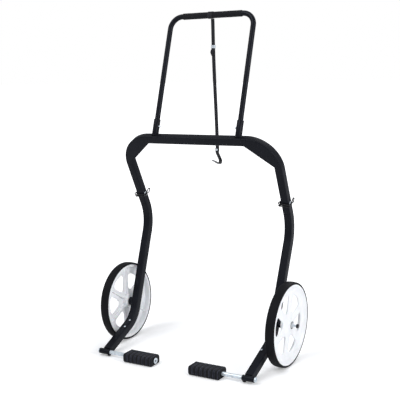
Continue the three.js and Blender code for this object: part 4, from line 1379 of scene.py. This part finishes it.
class TROLLEY_OT_fittings(bpy.types.Operator):
    """Makes the axles, their caps and bosses, and the bolts and screws"""

    bl_idname = "trolley.fittings"
    bl_label = "Axles and fasteners"

    def execute(self, context):
        cap = black_plastic()
        for side, label in SIDES:
            seat = leg_seat(side, AXLE_Z)
            part = lathe(self.cap_section(), 48)
            add_piece(f"cap_{label}", [part], seat, "frame", cap, [f"axle_cap_{label}"])
            add_recast(f"axle_boss_{label}", "frame", powder_coat(), 0.0012)
            add_recast(f"axle_{label}", "frame", zinc_plate(), 0.0005)
            for node in ("elbow_bolt_low", "elbow_bolt_high", "clamp_screw"):
                add_recast(f"{node}_{label}", "frame", zinc_plate(), 0.0007)
        return {"FINISHED"}

    @staticmethod
    def cap_section():
        """A short knob with a rounded rim and a slightly domed end, closed on the axle's line."""
        start, end, radius = AXLE_END - 7, AXLE_END, 8.0
        angle = np.linspace(0, math.pi / 2, 6)
        rim = np.stack([radius - 2 + 2 * np.cos(angle), end - 2.2 + 2 * np.sin(angle)], -1)
        first = [[0.01, start], [radius - 0.8, start], [radius - 0.2, start + 0.2], [radius, start + 0.8]]
        return np.concatenate([first, rim, [[3, end - 0.05], [0.01, end]]])


# ---------------------------------------------------------------- panel and registration
OPERATORS = (
    TROLLEY_OT_stage,
    TROLLEY_OT_hook_strap,
    TROLLEY_OT_legs,
    TROLLEY_OT_upper_frame,
    TROLLEY_OT_wheels,
    TROLLEY_OT_feet,
    TROLLEY_OT_handle,
    TROLLEY_OT_lock_pins,
    TROLLEY_OT_fittings,
)
GROUPS = {
    "tube": TrolleyTubeSettings,
    "wheel": TrolleyWheelSettings,
    "pad": TrolleyPadSettings,
    "strap": TrolleyStrapSettings,
}


class TROLLEY_PT_panel(bpy.types.Panel):
    """The trolley's sizes and the buttons that build its pieces"""

    bl_idname = "TROLLEY_PT_panel"
    bl_label = "Hand trolley"
    bl_space_type = "VIEW_3D"
    bl_region_type = "UI"
    bl_category = "Trolley"

    def draw(self, context):
        for name in GROUPS:
            group = settings(name)
            box = self.layout.box()
            for key in group.__annotations__:
                box.prop(group, key)
        for operator in OPERATORS:
            self.layout.operator(operator.bl_idname)


def register():
    for group in GROUPS.values():
        bpy.utils.register_class(group)
    for name, group in GROUPS.items():
        setattr(bpy.types.Scene, f"trolley_{name}", PointerProperty(type=group))
    for item in (*OPERATORS, TROLLEY_PT_panel):
        bpy.utils.register_class(item)


def unregister():
    for item in reversed((*OPERATORS, TROLLEY_PT_panel)):
        bpy.utils.unregister_class(item)
    for name, group in GROUPS.items():
        delattr(bpy.types.Scene, f"trolley_{name}")
        bpy.utils.unregister_class(group)


def main():
    """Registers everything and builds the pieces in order."""
    register()
    for operator in OPERATORS:
        group, name = operator.bl_idname.split(".")
        getattr(getattr(bpy.ops, group), name)()


if __name__ == "__main__":
    main()
